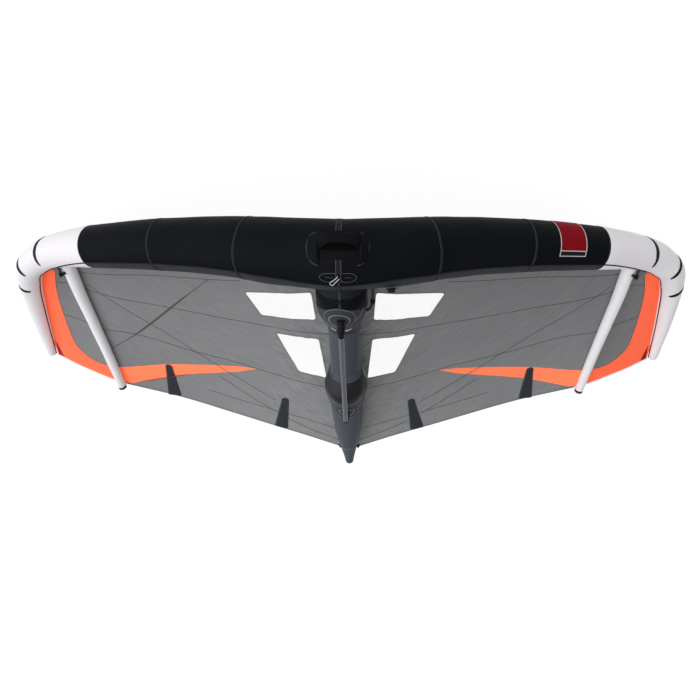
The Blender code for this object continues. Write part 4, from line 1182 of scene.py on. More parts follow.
def makeCloth():
    d = clothPanels
    windows = [(word, roundCorners(flat(d["window" + word]),
                                   d["cornerRound"])) for word in ("Front", "Rear")]
    holes = [turnedOut(w, side) for side in (1, -1) for _, w in windows]
    outline = turnedOut(canopyOutline(), 1)
    canopy, area = clothPanel("canopyCloth", outline, holes)
    settle(canopy, "greyRipstop", slot="canopy_ripstop", nodes=("canopy_left", "canopy_right"))
    for side, hand in hands:
        for word, window in windows:
            film, area = clothPanel(f"window{word}_{hand}", turnedOut(window, side),
                                    pitch=d["filmPitch"], thick=d["filmThick"])
            settle(film, "windowFilm", slot="window_film", nodes=(f"window_{word.lower()}_{hand}",))
            xs, ys = [p.x for p in window], [p.y for p in window]
            max(xs) - min(xs)
            (max(ys) - min(ys)) * 1.03
        for piece, line, finish, node in (("tipTrim", trimOutline(), "orangeRipstop", "tip_trim"),
                                          ("wedgeTrim", wedgeOutline(), "coralRipstop",
                                           "wedge_trim")):
            trim, area = clothPanel(f"{piece}_{hand}", turnedOut(line, side), pitch=d["trimPitch"])
            settle(trim, finish, slot="orange_ripstop", nodes=(f"{node}_{hand}",))
            xs, ys = [p.x for p in line], [p.y for p in line]
            wide, long = (max(xs) - min(xs)) * 1.06, (max(ys) - min(ys)) * 1.06
            share = min(1.0, area / (wide * long))
            if share < 0.3:
                wide *= share / 0.31


makeCloth()
print("cloth ready")


# centre strut
strutSections = (
    # name, front edge at top and sides, back edge at top and sides, as shares of the length
    ("strutRoot", 0.118, 0.118, 0.1412, 0.150, "seamBlack", "slate_sleeve", None),
    ("strutCollar", 0.1412, 0.150, 0.169, 0.208, "blackSleeve", "black_sleeve", "strut_collar"),
    ("strutFunnel", 0.169, 0.208, 0.318, 0.330, "patchSlate", "slate_sleeve", "strut_funnel"),
    ("strutWaist", 0.318, 0.330, 0.508, 0.508, "strutSlate", "slate_sleeve", "strut_waist"),
    ("strutBulge", 0.508, 0.508, 0.577, 0.558, "bulgeBlack", "black_sleeve", "strut_bulge"),
    ("strutTail", 0.577, 0.558, 0.868, 0.868, "strutSlate", "slate_sleeve", "strut_tail"),
)
strutMaking = {
    "around": 72, "pitch": 0.012, "wall": 0.0014, "groove": 0.0016,
    "endCap": 0.8685,           # where the cap starts, as a share of the length
    "capLift": 0.0012,
    "bladder": (0.235, 0.88), "bladderIn": 0.0045,
}


def strutSwell(share, angle, edges):
    lift = 0.0
    for edge in edges:
        away = abs(share - edge) * chord
        lift -= strutMaking["groove"] * exp(-(away / 0.008) ** 2)
        lift += 0.0009 * noise.noise(Vector((angle * 7, edge * 40, 1.0))) * exp(-away / 0.03)
    return lift + 0.0012 * noise.noise(Vector((share * 22, angle * 1.5, 8.0)))


def makeStrut():
    d = strutMaking
    for name, frontTop, frontSide, backTop, backSide, finish, slot, node in strutSections:
        long = (max(backTop, backSide) - min(frontTop, frontSide)) * chord

        def place(u, v):
            angle = 2 * pi * v - pi / 2
            high = max(0.0, sin(angle)) ** 1.3
            first, last = lerp(frontSide, frontTop, high), lerp(backSide, backTop, high)
            share = lerp(first, last, u)
            return strutPoint(share, angle,
                              strutSwell(share, angle if v < 1 else -pi / 2, (first, last)))

        tube = sewn(name, max(6, int(long / d["pitch"])), d["around"], place, (long, 0.6),
                    close=True)
        thicken(tube, d["wall"])
        settle(tube, finish, slot=slot, nodes=(node,) if node else ())

    def capPlace(u, v):
        share = lerp(d["endCap"], 1.0, u)
        r = strutFrame(round(share, 5))[1]
        tuck = r * (1 - dome((u - 0.86) / 0.14))
        return strutPoint(share, 2 * pi * v - pi / 2, d["capLift"] - tuck)

    cap = sewn("strutEndCap", 46, 64, capPlace, (0.3, 0.3), close=True)
    settle(cap, "strutSlate", slot="black_rubber", nodes=("strut_end_cap",))

    def filmPlace(u, v):
        share = lerp(*d["bladder"], u)
        r = strutFrame(round(share, 5))[1]
        end = min(u, 1 - u) / 0.03
        tuck = r * (1 - dome(1 - end))
        return strutPoint(share, 2 * pi * v - pi / 2, -d["bladderIn"] - tuck * 0.97)

    film = sewn("strutBladder", 120, 40, filmPlace, (1.4, 0.5), close=True)
    settle(film, "bladderFilm", slot="bladder_film", nodes=("strut_bladder",))


makeStrut()
print("centre strut ready")


# side struts
sideStrutMaking = {"around": 40, "long": 1.1, "wall": 0.0012, "end": 5.0,
                   "bladder": (0.5, 4.85), "bladderIn": 0.0035}


def makeSideStruts():
    d = sideStrutMaking
    for side, hand in hands:
        def place(u, v):
            s = lerp(0.0, d["end"], u)
            angle = 2 * pi * v - pi / 2
            slack = 0.0007 * noise.noise(Vector((s * 5, (v % 1) * 7, side * 2)))
            return sidePoint(s, angle, slack, side)

        tube = sewn(f"sideStrut_{hand}", 90, d["around"], place, (d["long"], 0.24), close=True)
        thicken(tube, d["wall"])
        settle(tube, "whiteSleeve", slot="white_sleeve", nodes=(f"side_strut_{hand}",))

        def filmPlace(u, v):
            s = lerp(*d["bladder"], u)
            r = sideFrame(round(s, 5))[1]
            end = min(u, 1 - u) / 0.04
            tuck = r * (1 - dome(1 - end))
            return sidePoint(s, 2 * pi * v - pi / 2, -d["bladderIn"] - tuck * 0.94, side)

        film = sewn(f"sideBladder_{hand}", 60, 24, filmPlace, (1.0, 0.2), close=True)
        settle(film, "bladderFilm", slot="bladder_film", nodes=(f"side_strut_bladder_{hand}",))

        middle, r, out, up, along = sideFrame(d["end"])

        def capPlace(u, v):
            # a domed rubber cup over the end
            angle = 2 * pi * v - pi / 2
            travel, reach = ((-0.004 + 0.018 * min(u / 0.5, 1)), 1.03)
            if u > 0.5:
                t = (u - 0.5) / 0.5 * pi / 2
                travel, reach = 0.014 + 0.0065 * sin(t), 1.03 * cos(t)
            if u < 0.08:
                reach = 1.0
            p = middle + along * travel + (out * cos(angle) + up * sin(angle)) * (r * max(reach, 0.0))
            return mirrored(p, side)

        cap = sewn(f"sideStrutCap_{hand}", 26, 40, capPlace, (0.05, 0.2), close=True)
        settle(cap, "rubber", slot="black_rubber", nodes=(f"side_strut_cap_{hand}",))


makeSideStruts()
print("side struts ready")


# lines and tapes on the wing
@lru_cache(None)
def stationOf(x):
    return stationWhere(lambda s: edgeFrame(round(s, 5))[0], x, 30)


@lru_cache(None)
def stationAt(x, turn):
    # place along the leading edge where its skin at this angle is that far from the middle
    return stationWhere(lambda s: edgePoint(s, radians(turn)), x, 24)


def edgeSkin(side=1, lift=0.0):
    return lambda s, turn: (edgePoint(s, radians(turn), lift, side),
                            edgeNormal(s, radians(turn), side))


def edgeAcross(lift=0.0):
    # the same by distance from the middle, signed
    def skin(x, turn):
        side = 1 if x >= 0 else -1
        s = stationAt(round(abs(x), 5), round(turn, 3))
        return edgePoint(s, radians(turn), lift, side), edgeNormal(s, radians(turn), side)
    return skin


def edgeRound(lift=0.0):
    # the same by the distance of the tube's own middle
    def skin(x, turn):
        side = 1 if x >= 0 else -1
        return edgeSkin(side, lift)(stationOf(round(abs(x), 5)), turn)
    return skin


def strutSkin(lift=0.0):
    return lambda share, turn: (strutPoint(share, radians(turn), lift),
                                Vector((cos(radians(turn)), 0, sin(radians(turn)))))


def sideSkin(side, lift=0.0):
    def skin(s, turn):
        _, _, out, up, _ = sideFrame(round(s, 5))
        a = radians(turn)
        return sidePoint(s, a, lift, side), mirrored(out * cos(a) + up * sin(a), side)
    return skin


def treeOf(names):
    corners, faces = [], []
    for name in names:
        mesh = bpy.data.objects[name].data
        start = len(corners)
        corners.extend(v.co.copy() for v in mesh.vertices)
        faces.extend(tuple(start + i for i in p.vertices) for p in mesh.polygons)
    return BVHTree.FromPolygons(corners, faces)


topTree = treeOf(["canopyCloth", "tipTrim_right", "tipTrim_left", "wedgeTrim_right",
                  "wedgeTrim_left"])


def clothSkin(lift=0.0):
    def skin(x, y):
        place, normal, _, _ = topTree.ray_cast(Vector((x, y, 2)), Vector((0, 0, -1)))
        if place is None:
            place = onCloth(x, y, 0.0005)
            normal = Vector((0, 0, 1))
        return place + normal * lift, normal
    return skin


def lineOn(skin, marks, pitch=0.010, closed=False):
    # (place, normal) a pitch apart on a smooth line through the marks
    fine = throughPoints([Vector(m) for m in marks], 12, closed)
    if closed:
        fine.append(fine[0])
    places = [skin(*m)[0] for m in fine]
    return [skin(*fine[i].lerp(fine[i + 1], share)) for i, share in evenPlaces(places, pitch, 2)]


def tape(name, line, width, thick, finish, slot, rounded=False, rows=4):
    # a flat tape along the line, a little lower at its edges
    count = len(line) - 1
    long = sum((b[0] - a[0]).length for a, b in zip(line, line[1:]))

    def place(u, v):
        k = int(round(u * count))
        p, normal = line[k]
        along = (line[min(k + 1, count)][0] - line[max(k - 1, 0)][0]).normalized()
        across = normal.cross(along).normalized()
        wide = width(u) if callable(width) else width
        if rounded:
            end = min(u, 1 - u) * long / (wide / 2)
            wide *= 0.12 + 0.88 * dome(1 - end)
        return p + across * (wide * (v - 0.5)) + normal * (thick * (1 - 0.45 * abs(2 * v - 1) ** 4))

    top = width(0.5) if callable(width) else width
    piece = sewn(name, count, rows, place, (long, top))
    thicken(piece, thick)
    return settle(piece, finish, slot=slot)


def offsetLine(line, shift):
    # the same line moved sideways on its surface
    out = []
    for k, (p, normal) in enumerate(line):
        along = (line[min(k + 1, len(line) - 1)][0] - line[max(k - 1, 0)][0]).normalized()
        out.append((p + normal.cross(along) * shift, normal))
    return out


def disc(u, v):
    # shares of a square turned to a place in a round of radius 1
    a, b = 2 * u - 1, 2 * v - 1
    return a * sqrt(1 - b * b / 2), b * sqrt(1 - a * a / 2)


# leading edge seams, bands and piping
edgeMarks = {
    "seamTape": 0.0120,
    "seamThick": 0.0009,
    # place, first and last angle, on each side
    "bands": {1: ((7.71, -55, 84), (8.86, -60, 83), (9.77, -50, 108)),
              -1: ((7.46, -55, 84), (8.73, -60, 95), (9.74, -40, 116))},
    "bandLean": {1: (0.09, 0.035, -0.02), -1: (0.11, 0.09, 0.11)},
    "bandWide": 0.031,
    "piping": 0.0036,
    "pipingPlaces": 90, "pipingEnd": 11.93, "pipingLift": 0.0014,
    "thread": 0.34,           # of the tape's width, from its middle to each row of thread
}


def makeEdgeMarks():
    d = edgeMarks
    threads = []
    for side, hand in hands:
        first, second, colour = edgeSleeves["seams"][side]
        for k, seam in enumerate((first, second)):
            line = lineOn(edgeSkin(side), [(seam, turn) for turn in range(-120, 201, 20)], 0.016)
            tape(f"seamTape_{hand}_{k}", line, d["seamTape"], d["seamThick"], "seamBlack",
                 "black_sleeve")
            fine = lineOn(edgeSkin(side, d["seamThick"]),
                          [(seam, turn) for turn in range(-120, 201, 20)], 0.010)
            threads += [offsetLine(fine, way * d["seamTape"] * d["thread"]) for way in (1, -1)]
        edge = lineOn(edgeSkin(side), [(colour - 0.012, turn) for turn in range(-120, 141, 20)],
                      0.014)
        tape(f"colourSeam_{hand}", edge, 0.010, 0.0009, "seamBlack", "black_sleeve")
        threads.append(lineOn(edgeSkin(side, 0.0009),
                              [(colour - 0.016, t) for t in range(-120, 141, 20)]))
        for k, (s, start, end) in enumerate(d["bands"][side]):
            lean = d["bandLean"][side][k]
            marks = [(s - lean + 2 * lean * j / 6, lerp(start, end, j / 6)) for j in range(7)]
            line = lineOn(edgeSkin(side), marks, 0.010)
            tape(f"tipBand_{hand}_{k}", line,
                 lambda u: d["bandWide"] * (0.25 + 0.75 * sin(pi * u) ** 0.5), 0.0012,
                 "bandBlack", "white_sleeve")
        stations = [d["pipingEnd"] * k / d["pipingPlaces"] for k in range(d["pipingPlaces"] + 1)]
        pipe = [edgePoint(s, radians(pipingAngle(s)), d["pipingLift"], side) for s in stations]
        piece = corded(f"piping_{hand}_cord", pipe, d["piping"], around=3)
        settle(piece, "bandBlack", slot="black_sleeve", nodes=(f"piping_{hand}",))
        # the pale seam allowance between the piping and the cloth at the tips
        line = lineOn(edgeSkin(side),
                      [(s, pipingAngle(s) + 3.4) for s in (6.2, 7, 8, 9, 10, 11, 11.8)], 0.02)
        tape(f"pipingFlat_{hand}", line, 0.007, 0.0012, "whiteSleeve", "white_sleeve")
    stitches("edgeStitches", threads, "dimThread")


makeEdgeMarks()
print("edge seams ready")


# label on the left half
labelMaking = {"from": 1.050, "to": 1.196, "turns": (-42, 60), "foot": 12, "rim": 0.0045,
               "lift": 0.0022, "thick": 0.0012}


def edgeSheet(name, xs, turns, lift, thick, finish, columns, rows, slot, nodes=(), swell=None,
              around=edgeAcross):
    # cloth between two distances from the middle and two angles round the leading edge
    def place(u, v):
        x, turn = lerp(xs[0], xs[1], u), lerp(turns[0], turns[1], v)
        return around(lift + (swell(u, v) if swell else 0.0))(x, turn)[0]
    long = abs(radians(turns[1] - turns[0])) * 0.14
    piece = sewn(name, columns, rows, place, (abs(xs[1] - xs[0]), long))
    facing(piece, lambda p: p - edgeFrame(nearStation(p))[0] if p.x >= 0
           else p - mirrored(edgeFrame(nearStation(p))[0], -1))
    thicken(piece, thick)
    return settle(piece, finish, slot=slot, nodes=nodes)


def makeLabel():
    d = labelMaking
    start, end = d["turns"]
    xs = (-d["from"], -d["to"])
    split = end - d["foot"]
    edgeSheet("sideLabel", xs, (start, split), d["lift"], d["thick"], "redLabel", 18, 30,
              "red_label", ("side_label",),
              around=edgeRound)
    edgeSheet("labelFoot", xs, (split, end), d["lift"], d["thick"], "bandBlack", 18, 6, "red_label",
              around=edgeRound)
    rim = d["rim"] / 2
    skin = edgeRound(d["lift"])
    for k, marks in enumerate((
            [(xs[0], lerp(start, end, j / 8)) for j in range(9)],
            [(xs[1], lerp(start, end, j / 8)) for j in range(9)],
            [(lerp(xs[0] + rim, xs[1] - rim, j / 6), end) for j in range(7)],
            [(lerp(xs[0] + rim, xs[1] - rim, j / 6), start) for j in range(7)],
            [(lerp(xs[0] + rim, xs[1] - rim, j / 6), split) for j in range(7)])):
        tape(f"labelRim_{k}", lineOn(skin, marks, 0.008), d["rim"], 0.0008, "paleLabel",
             "red_label")


makeLabel()


# front handle
handleMaking = {
    "pivot": (0, -1.0798, 0.6666), "hang": (0, -0.8192, -0.5736), "off": (0, -0.5736, 0.8192),
    "reach": (0.0795, 0.050),   # in the middle and at the ends
    "half": 0.103, "barHalf": 0.104,
    "wide": (0.0240, 0.046),
    "deep": 0.0130,
    "tuck": 0.026,
    "shift": {1: 0.010, -1: -0.003},
    "pocketInner": 0.094, "pocketOuter": 0.146, "pocketTurns": (3, 57), "pocketHigh": 0.021,
}


def makeHandle():
    d = handleMaking
    pivot, hang, off = (Vector(d[k]) for k in ("pivot", "hang", "off"))

    def padPlace(u, v):
        x = lerp(-d["half"], d["half"], u)
        t = abs(x) / d["half"]
        reach, wide = (lerp(*d[k], t ** 3) for k in ("reach", "wide"))
        deep = lerp(d["deep"], 0.0035, t ** 4)
        a = 2 * pi * v
        # flatter underneath, with a few soft gathers at the ends
        round_ = 1 + 0.05 * noise.noise(Vector((x * 30, a * 1.2, 4)))
        gather = 1 + 0.10 * t ** 2 * noise.noise(Vector((x * 14, a * 3.2, 9)))
        return (pivot + Vector((x, 0, 0)) + hang * (reach + wide * cos(a) * round_ * gather)
                + off * (0.004 - d["tuck"] * t ** 4 + deep * sin(a) * round_ * gather))

    pad = sewn("handlePad", 72, 30, padPlace, (0.2, 0.12), close=True)
    closeEnds(pad)
    settle(pad, "webbing", "front_handle", "black_webbing", ("handle_webbing", "handle_grip"))
    rows = []
    for turn in (0.5, 1.5):
        row = []
        for k in range(41):
            u = lerp(0.10, 0.90, k / 40)
            p = padPlace(u, turn / 2)
            row.append((p, (off if turn == 0.5 else -off)))
        rows.append(row)
    stitches("handleStitches", rows, "seamBlack", "front_handle")
    # the bar sewn flat on the leading edge under the handle
    edgeSheet("handleBar", (-d["barHalf"], d["barHalf"]), (33, 46), 0.0042, 0.0034, "webbing", 26,
              6, "black_webbing",
              swell=lambda u, v: 0.0020 * (1 - (2 * v - 1) ** 4))
    # painted shade: a near-black sheet under the handle where the recess lies in shade
    edgeSheet("handleBase", (-d["barHalf"], d["barHalf"]), (4, 34), 0.0012, 0.0009, "shadeBlack", 26,
              10, "black_webbing")
    low, high = d["pocketTurns"]
    for side, hand in hands:
        def place(u, v):
            w = 2 * v - 1
            reach = sqrt(max(0.0, 1 - abs(w) ** 2.4))
            x = lerp(d["pocketInner"], lerp(d["pocketInner"] + 0.004, d["pocketOuter"], reach), u)
            rise = d["pocketHigh"] * (1 - u) ** 0.8 * (1 - abs(w) ** 3) * min(1.0, 0.55 + u * 3)
            fold = 0.0012 * noise.noise(Vector((u * 4, v * 7, side))) * (1 - u)
            x += d["shift"][side] * u
            return edgeAcross(0.0014 + rise + fold)(side * x, lerp(low, high, v))[0]
        pocket = sewn(f"handlePocket_{hand}", 20, 34, place, (0.06, 0.17))
        facing(pocket, lambda p: Vector((0, -0.85, 0.5)))
        thicken(pocket, 0.0013)
        settle(pocket, "blackSleeve", slot="black_webbing", nodes=(f"handle_pocket_{hand}",))
        mid = 0.096 + d["shift"][side]
        arc = [(side * (mid + 0.047 * cos(radians(t))),
                30 + 26 * sin(radians(t))) for t in range(-80, 81, 16)]
        arc = [(side * (mid - 0.008), 57.5)] + arc[::-1] + [(side * (mid + 0.006), 3)]
        line = lineOn(edgeAcross(0.0028), arc, 0.006)
        tape(f"handleArc_{hand}", line, 0.0028, 0.0010, "dimThread", "black_sleeve")
        stitches(f"handleArcStitches_{hand}", [line], "paleThread")


def closeEnds(piece):
    # cap the two open ends of a tube
    only(piece)
    bpy.ops.object.mode_set(mode="EDIT")
    bpy.ops.mesh.select_all(action="DESELECT")
    bpy.ops.mesh.select_mode(type="EDGE")
    bpy.ops.mesh.select_non_manifold()
    bpy.ops.mesh.fill_holes(sides=0)
    bpy.ops.mesh.select_all(action="SELECT")
    bpy.ops.mesh.normals_make_consistent(inside=False)
    bpy.ops.mesh.select_mode(type="VERT")
    bpy.ops.object.mode_set(mode="OBJECT")


makeHandle()
print("handle ready")


# middle strip, leash patch and loop
leashMaking = {"pivot": (0, -0.9921, 0.7345), "patchHalf": 0.098, "patchTurns": (67, 88),
               "lean": 0.75,
               "cord": 0.0017}


def makeMiddle():
    d = leashMaking
    strips = (("middleStripTop", (-0.009, 0.017), (-70, 0), 0.0012),
              ("middleStripFoot", (-0.0092, 0.0155), (47, 88), 0.0038))
    for name, xs, turns, lift in strips:
        edgeSheet(name, xs, turns, lift, 0.0012, "seamBlack", 6, 24, "black_sleeve")
        for x in xs:
            line = lineOn(edgeAcross(lift),
                          [(x, lerp(turns[0], turns[1], k / 6)) for k in range(7)], 0.008)
            tape(f"{name}_rim{'A' if x < 0 else 'B'}", line, 0.0024, 0.0008, "dimThread",
                 "black_sleeve")
    low, high = d["patchTurns"]

    def patchPlace(u, v):
        a, b = disc(u, v)
        p, _ = edgeAcross(0.0032 * (1 - (a * a + b * b) ** 4) + 0.0006)(
            d["patchHalf"] * a, lerp(low, high, (b + 1) / 2))
        return p
    patch = sewn("leashPatch", 40, 14, patchPlace, (0.2, 0.07))
    facing(patch, upward)
    thicken(patch, 0.0014)
    settle(patch, "blackSleeve", slot="black_webbing", nodes=("leash_patch",))
    for way, word in ((1.2, "A"), (-1.04, "B")):
        marks = [(way * x, t) for x,
                 t in ((0.016, 69.5), (0.050, 69.5), (0.071, 73), (0.077, 78), (0.068, 84),
                                           (0.046, 86.7), (0.025, 86.7), (0.013, 84.5))]
        line = lineOn(edgeAcross(0.0034), marks, 0.006)
        tape(f"leashRim_{word}", line, 0.0024, 0.0008, "dimThread", "black_sleeve")
        stitches(f"leashStitches_{word}", [line], "paleThread")
        mid = lineOn(edgeAcross(0.0036),
                     [(way * 0.026, 77), (way * 0.040, 77), (way * 0.054, 76.6)], 0.006)
        tape(f"leashBar_{word}", mid, 0.0026, 0.0010, "dimThread", "black_sleeve")
        rear = lineOn(edgeAcross(0.0006), [(way * x, t) for x, t in (
            (0.024, 104), (0.060, 101), (0.094, 102), (0.101, 107), (0.088, 112), (0.056, 115),
            (0.024, 114),
            (0.016, 109))], 0.006, closed=True)
        tape(f"rearOval_{word}", rear, 0.0024, 0.0008, "dimThread", "slate_sleeve")
    # short tab that holds the leash loop
    edgeSheet("leashTab", (-0.0045, 0.0045), (71.5, 78.5), 0.0052, 0.0018, "webbing", 8, 12,
              "black_webbing",
              ("leash_tab",), swell=lambda u, v: 0.0105 * (1 - (2 * v - 1) ** 2))
    pivot = Vector(d["pivot"])
    lie = Vector((sin(d["lean"]), 0.9659 * cos(d["lean"]), 0.2588 * cos(d["lean"]))).normalized()
    side = Vector((cos(d["lean"]), -0.9659 * sin(d["lean"]), -0.2588 * sin(d["lean"]))).normalized()
    up = side.cross(lie)
    shape = ((-0.0070, 0.0), (-0.0068, 0.012), (-0.0082, 0.034), (-0.0098, 0.051), (-0.004, 0.060),
             (0.004, 0.060), (0.0098, 0.051), (0.0080, 0.034), (0.0066, 0.012), (0.0070, 0.0))
    points = [pivot + side * x + lie * y + up * (0.0008 * sin(y * 60)) for x, y in shape]
    loop = corded("leashLoop", throughPoints(points, 8), d["cord"], around=4)
    settle(loop, "braid", "leash_loop", "white_cord", ("leash_loop",))
    # strap from the leading edge to the boom's front foot, with its knot
    rows = lineOn(edgeAcross(0.0010), [(0.004, t) for t in (88, 96, 106, 116, 124)], 0.008)
    rows = [r for r in rows if r[0].z > strutPoint((r[0].y - nose) / chord, pi / 2).z - 0.01
            or (r[0].y - nose) / chord < 0.12]
    last = rows[-1][0]
    first = (last.y - nose) / chord
    for k in range(1, 13):
        share = lerp(first, 0.196, k / 12)
        rows.append((strutPoint(share, radians(88), 0.0016), Vector((0, 0, 1))))
    smoothRows = []
    for k in range(len(rows)):
        near = rows[max(0, k - 1):k + 2]
        smoothRows.append((sum((r[0] for r in near), Vector()) / len(near),
                           sum((r[1] for r in near), Vector()).normalized()))
    tape("middleStrap", smoothRows, 0.012, 0.0022, "slateSleeve", "black_webbing")
    bpy.ops.object.select_all(action="DESELECT")
    knotPlace = smoothRows[len(smoothRows) - 9][0]
    bpy.ops.mesh.primitive_torus_add(location=knotPlace + Vector((0, 0, 0.006)),
                                     major_radius=0.0085,
                                     minor_radius=0.0046, major_segments=24, minor_segments=12)
    knot = bpy.context.object
    knot.name = knot.data.name = "strapKnot"
    modify(knot, "SUBSURF", levels=1, render_levels=1)
    settle(knot, "bandBlack", slot="black_webbing")


makeMiddle()
print("middle ready")


# strut seams, boom patches
strutMarks = {
    "line": 0.0040, "thick": 0.0010,
    # share of the length at the top and at the sides, for the seams right round
    "seams": ((0.169, 0.208, "seamBlack"), (0.508, 0.508, "paleThread"),
              (0.577, 0.558, "paleThread"),
              (0.868, 0.868, "paleThread")),
    # places on the strut: share of the length and angle
    "tongue": ((0.196, 14), (0.224, 25), (0.242, 52), (0.251, 76), (0.246, 92), (0.229, 109),
               (0.207, 132),
               (0.192, 150)),
    "arcs": (((0.283, 52), (0.289, 61), (0.294, 70)), ((0.283, 96), (0.279, 107), (0.272, 117))),
    "waistTurns": (26, 157),
    # middle of each patch, its half length and half angle, and the same for its inner ring
    "patches": {"front": ((0.204, 86), 0.100, 38, 0.057, 24),
                "rear": ((0.629, 91), 0.098, 47, 0.057, 27)},
}


def ringMarks(top, side):
    return [(lerp(side, top, max(0.0, sin(radians(t))) ** 1.3), t) for t in range(-20, 201, 11)]


def makeStrutMarks():
    d = strutMarks
    rows = [(ringMarks(top, side), finish) for top, side,
            finish in d["seams"]] + [(d["tongue"], "paleThread")]
    for k, (marks, finish) in enumerate(rows):
        tape(f"strutSeam_{k}", lineOn(strutSkin(0.0002), marks, 0.010), d["line"], d["thick"],
             finish,
             "slate_sleeve")
        line = lineOn(strutSkin(0.0010), marks, 0.010)
        stitches(f"strutStitches_{k}", [offsetLine(line, 0.0055), offsetLine(line, -0.0055)])
    for turn, word in zip(d["waistTurns"], "AB"):
        line = lineOn(strutSkin(0.0002), [(lerp(0.300, 0.504, k / 6), turn) for k in range(7)],
                      0.014)
        tape(f"waistSeam_{word}", line, 0.0034, d["thick"], "paleThread", "slate_sleeve")
    for marks, word in zip(d["arcs"], "AB"):
        tape(f"strutArc_{word}", lineOn(strutSkin(0.0012), marks, 0.008), 0.0070, 0.0012,
             "whiteThread",
             "slate_sleeve", rounded=True)
    for word, ((share, turn), half, wide, innerHalf, innerWide) in d["patches"].items():
        def patchPlace(u, v):
            a, b = disc(u, v)
            rise = 0.0042 * (1 - (a * a + b * b) ** 3) + 0.0004
            return strutPoint(share + a * half / chord, radians(turn - b * wide), rise)
        patch = sewn(f"boomPatch_{word}", 40, 36, patchPlace, (2 * half, 0.16))
        facing(patch, upward)
        thicken(patch, 0.0012)
        settle(patch, "patchSlate", slot="black_webbing", nodes=(f"boom_patch_{word}",))
        for name, long, round_, lift, width in (("outer", half, wide, 0.0018, 0.0036),
                                                ("inner", innerHalf, innerWide, 0.0046, 0.0075)):
            marks = [(share + long * 0.96 / chord * cos(radians(t)),
                      turn + round_ * 0.96 * sin(radians(t)))
                     for t in range(0, 360, 24)]
            line = lineOn(strutSkin(lift), marks, 0.007, closed=True)
            tape(f"boomRing_{word}_{name}", line, width, 0.0012, "paleThread", "black_webbing")


makeStrutMarks()
print("strut seams ready")


# boom
boomMaking = {"radius": 0.0142, "z": 0.8009, "shares": (0.2295, 0.611), "feet": (0.198, 0.624),
              "head": 0.0152,
              "foot": 0.0235, "overlap": 0.0015, "top": 0.8171}


def drawnOut(name, count, around, place):
    # a round face drawn out section by section; place(k, angle) gives every corner
    bpy.ops.object.select_all(action="DESELECT")
    bpy.ops.mesh.primitive_circle_add(vertices=around, radius=1, fill_type="NGON")
    piece = bpy.context.object
    piece.name = piece.data.name = name
    bpy.ops.object.mode_set(mode="EDIT")
    bpy.ops.mesh.select_all(action="SELECT")
    for _ in range(count - 1):
        bpy.ops.mesh.extrude_region_move(TRANSFORM_OT_translate={"value": (0, 0, 1)})
    bpy.ops.object.mode_set(mode="OBJECT")
    for v in piece.data.vertices:
        v.co = place(int(round(v.co.z)), atanTurn(v.co.x, v.co.y))
    return rejoined(piece)


def spunOut(name, path, radii, around=28, up=Vector((1, 0, 0))):
    # a round bar along the path, with a radius at each place
    def place(k, angle):
        along = (path[min(k + 1, len(path) - 1)] - path[max(k - 1, 0)]).normalized()
        first = (up - along * up.dot(along)).normalized()
        return path[k] + first * (radii[k] * cos(angle)) + along.cross(first) * (radii[k] * sin(angle))
    return drawnOut(name, len(path), around, place)


def makeBoom():
    d = boomMaking
    ys = [nose + chord * share for share in d["shares"]]
    between = [lerp(ys[0], ys[1], k / 12) for k in range(1, 12)]
    stations = [ys[0], ys[0] + 0.002] + between + [ys[1] - 0.002, ys[1]]
    path = [Vector((0, y, d["z"])) for y in stations]
    radii = [d["radius"] * (0.94 if k in (0, len(path) - 1) else 1.0) for k in range(len(path))]
    tube = spunOut("boomTube", path, radii, 40)
    settle(tube, "anodised", slot="boom_metal", nodes=("boom_tube",))
    for word, y, foot, way in (("front", ys[0], d["feet"][0], -1),
                               ("rear", ys[1], d["feet"][1], 1)):
        base = strutPoint(foot, pi / 2, 0.0055)
        knee = Vector((0, y + way * 0.012, d["z"]))
        inner = [Vector((0, y - way * d["overlap"] * share,
                         d["z"])) for share in (1.0, 0.85, 0.3, 0.1, -0.4)]
        bend = []
        a = inner[-1]
        corner = Vector((0, knee.y + way * 0.010, d["z"] + 0.001))
        b = base.lerp(corner, 0.50)
        for k in range(1, 9):
            t = k / 8
            bend.append(a * (1 - t) ** 2 + corner * (2 * t * (1 - t)) + b * t * t)
        leg = [base.lerp(bend[-1], share) for share in (0.72, 0.45, 0.30, 0.27, 0.12, 0.03, 0.0)]
        path = inner + bend + leg
        h = d["head"]
        radii = [h * 0.95, h * 0.98, h * 0.98, h * 1.06, h * 1.04]
        # wider towards the foot, under the top of the tube
        radii += [min(h * lerp(1.0, 1.36, k / 7), d["top"] - p.z) for k, p in enumerate(bend)]
        radii += [h * 1.34, h * 1.30, h * 1.24, d["foot"] * 0.90, d["foot"] * 0.98, d["foot"],
                  d["foot"] * 0.95]
        head = spunOut(f"boomHead_{word}", path, radii, 32)
        modify(head, "SUBSURF", levels=1, render_levels=1)
        settle(head, "blackPlastic", slot="black_plastic", nodes=(f"boom_head_{word}",))


makeBoom()
print("boom ready")


# valve, hoses and clamps
valveMaking = {"centre": (-0.2471, -0.8499, 0.6880), "normal": (-0.1025, 0.4642, 0.8798),
               "ridges": 24}


def turnedProfile(name, origin, normal, profile, around=48, ridge=None):
    normal = Vector(normal).normalized()
    first = Vector((1, 0, 0)) - normal * normal.x
    first.normalize()
    second = normal.cross(first)

    def place(k, angle):
        r, h = profile[k]
        if ridge and k in ridge[1]:
            r *= 1 + ridge[2] * (1 if cos(angle * ridge[0]) > 0 else -1)
        return Vector(origin) + normal * h + (first * cos(angle) + second * sin(angle)) * r
    return drawnOut(name, len(profile), around, place)


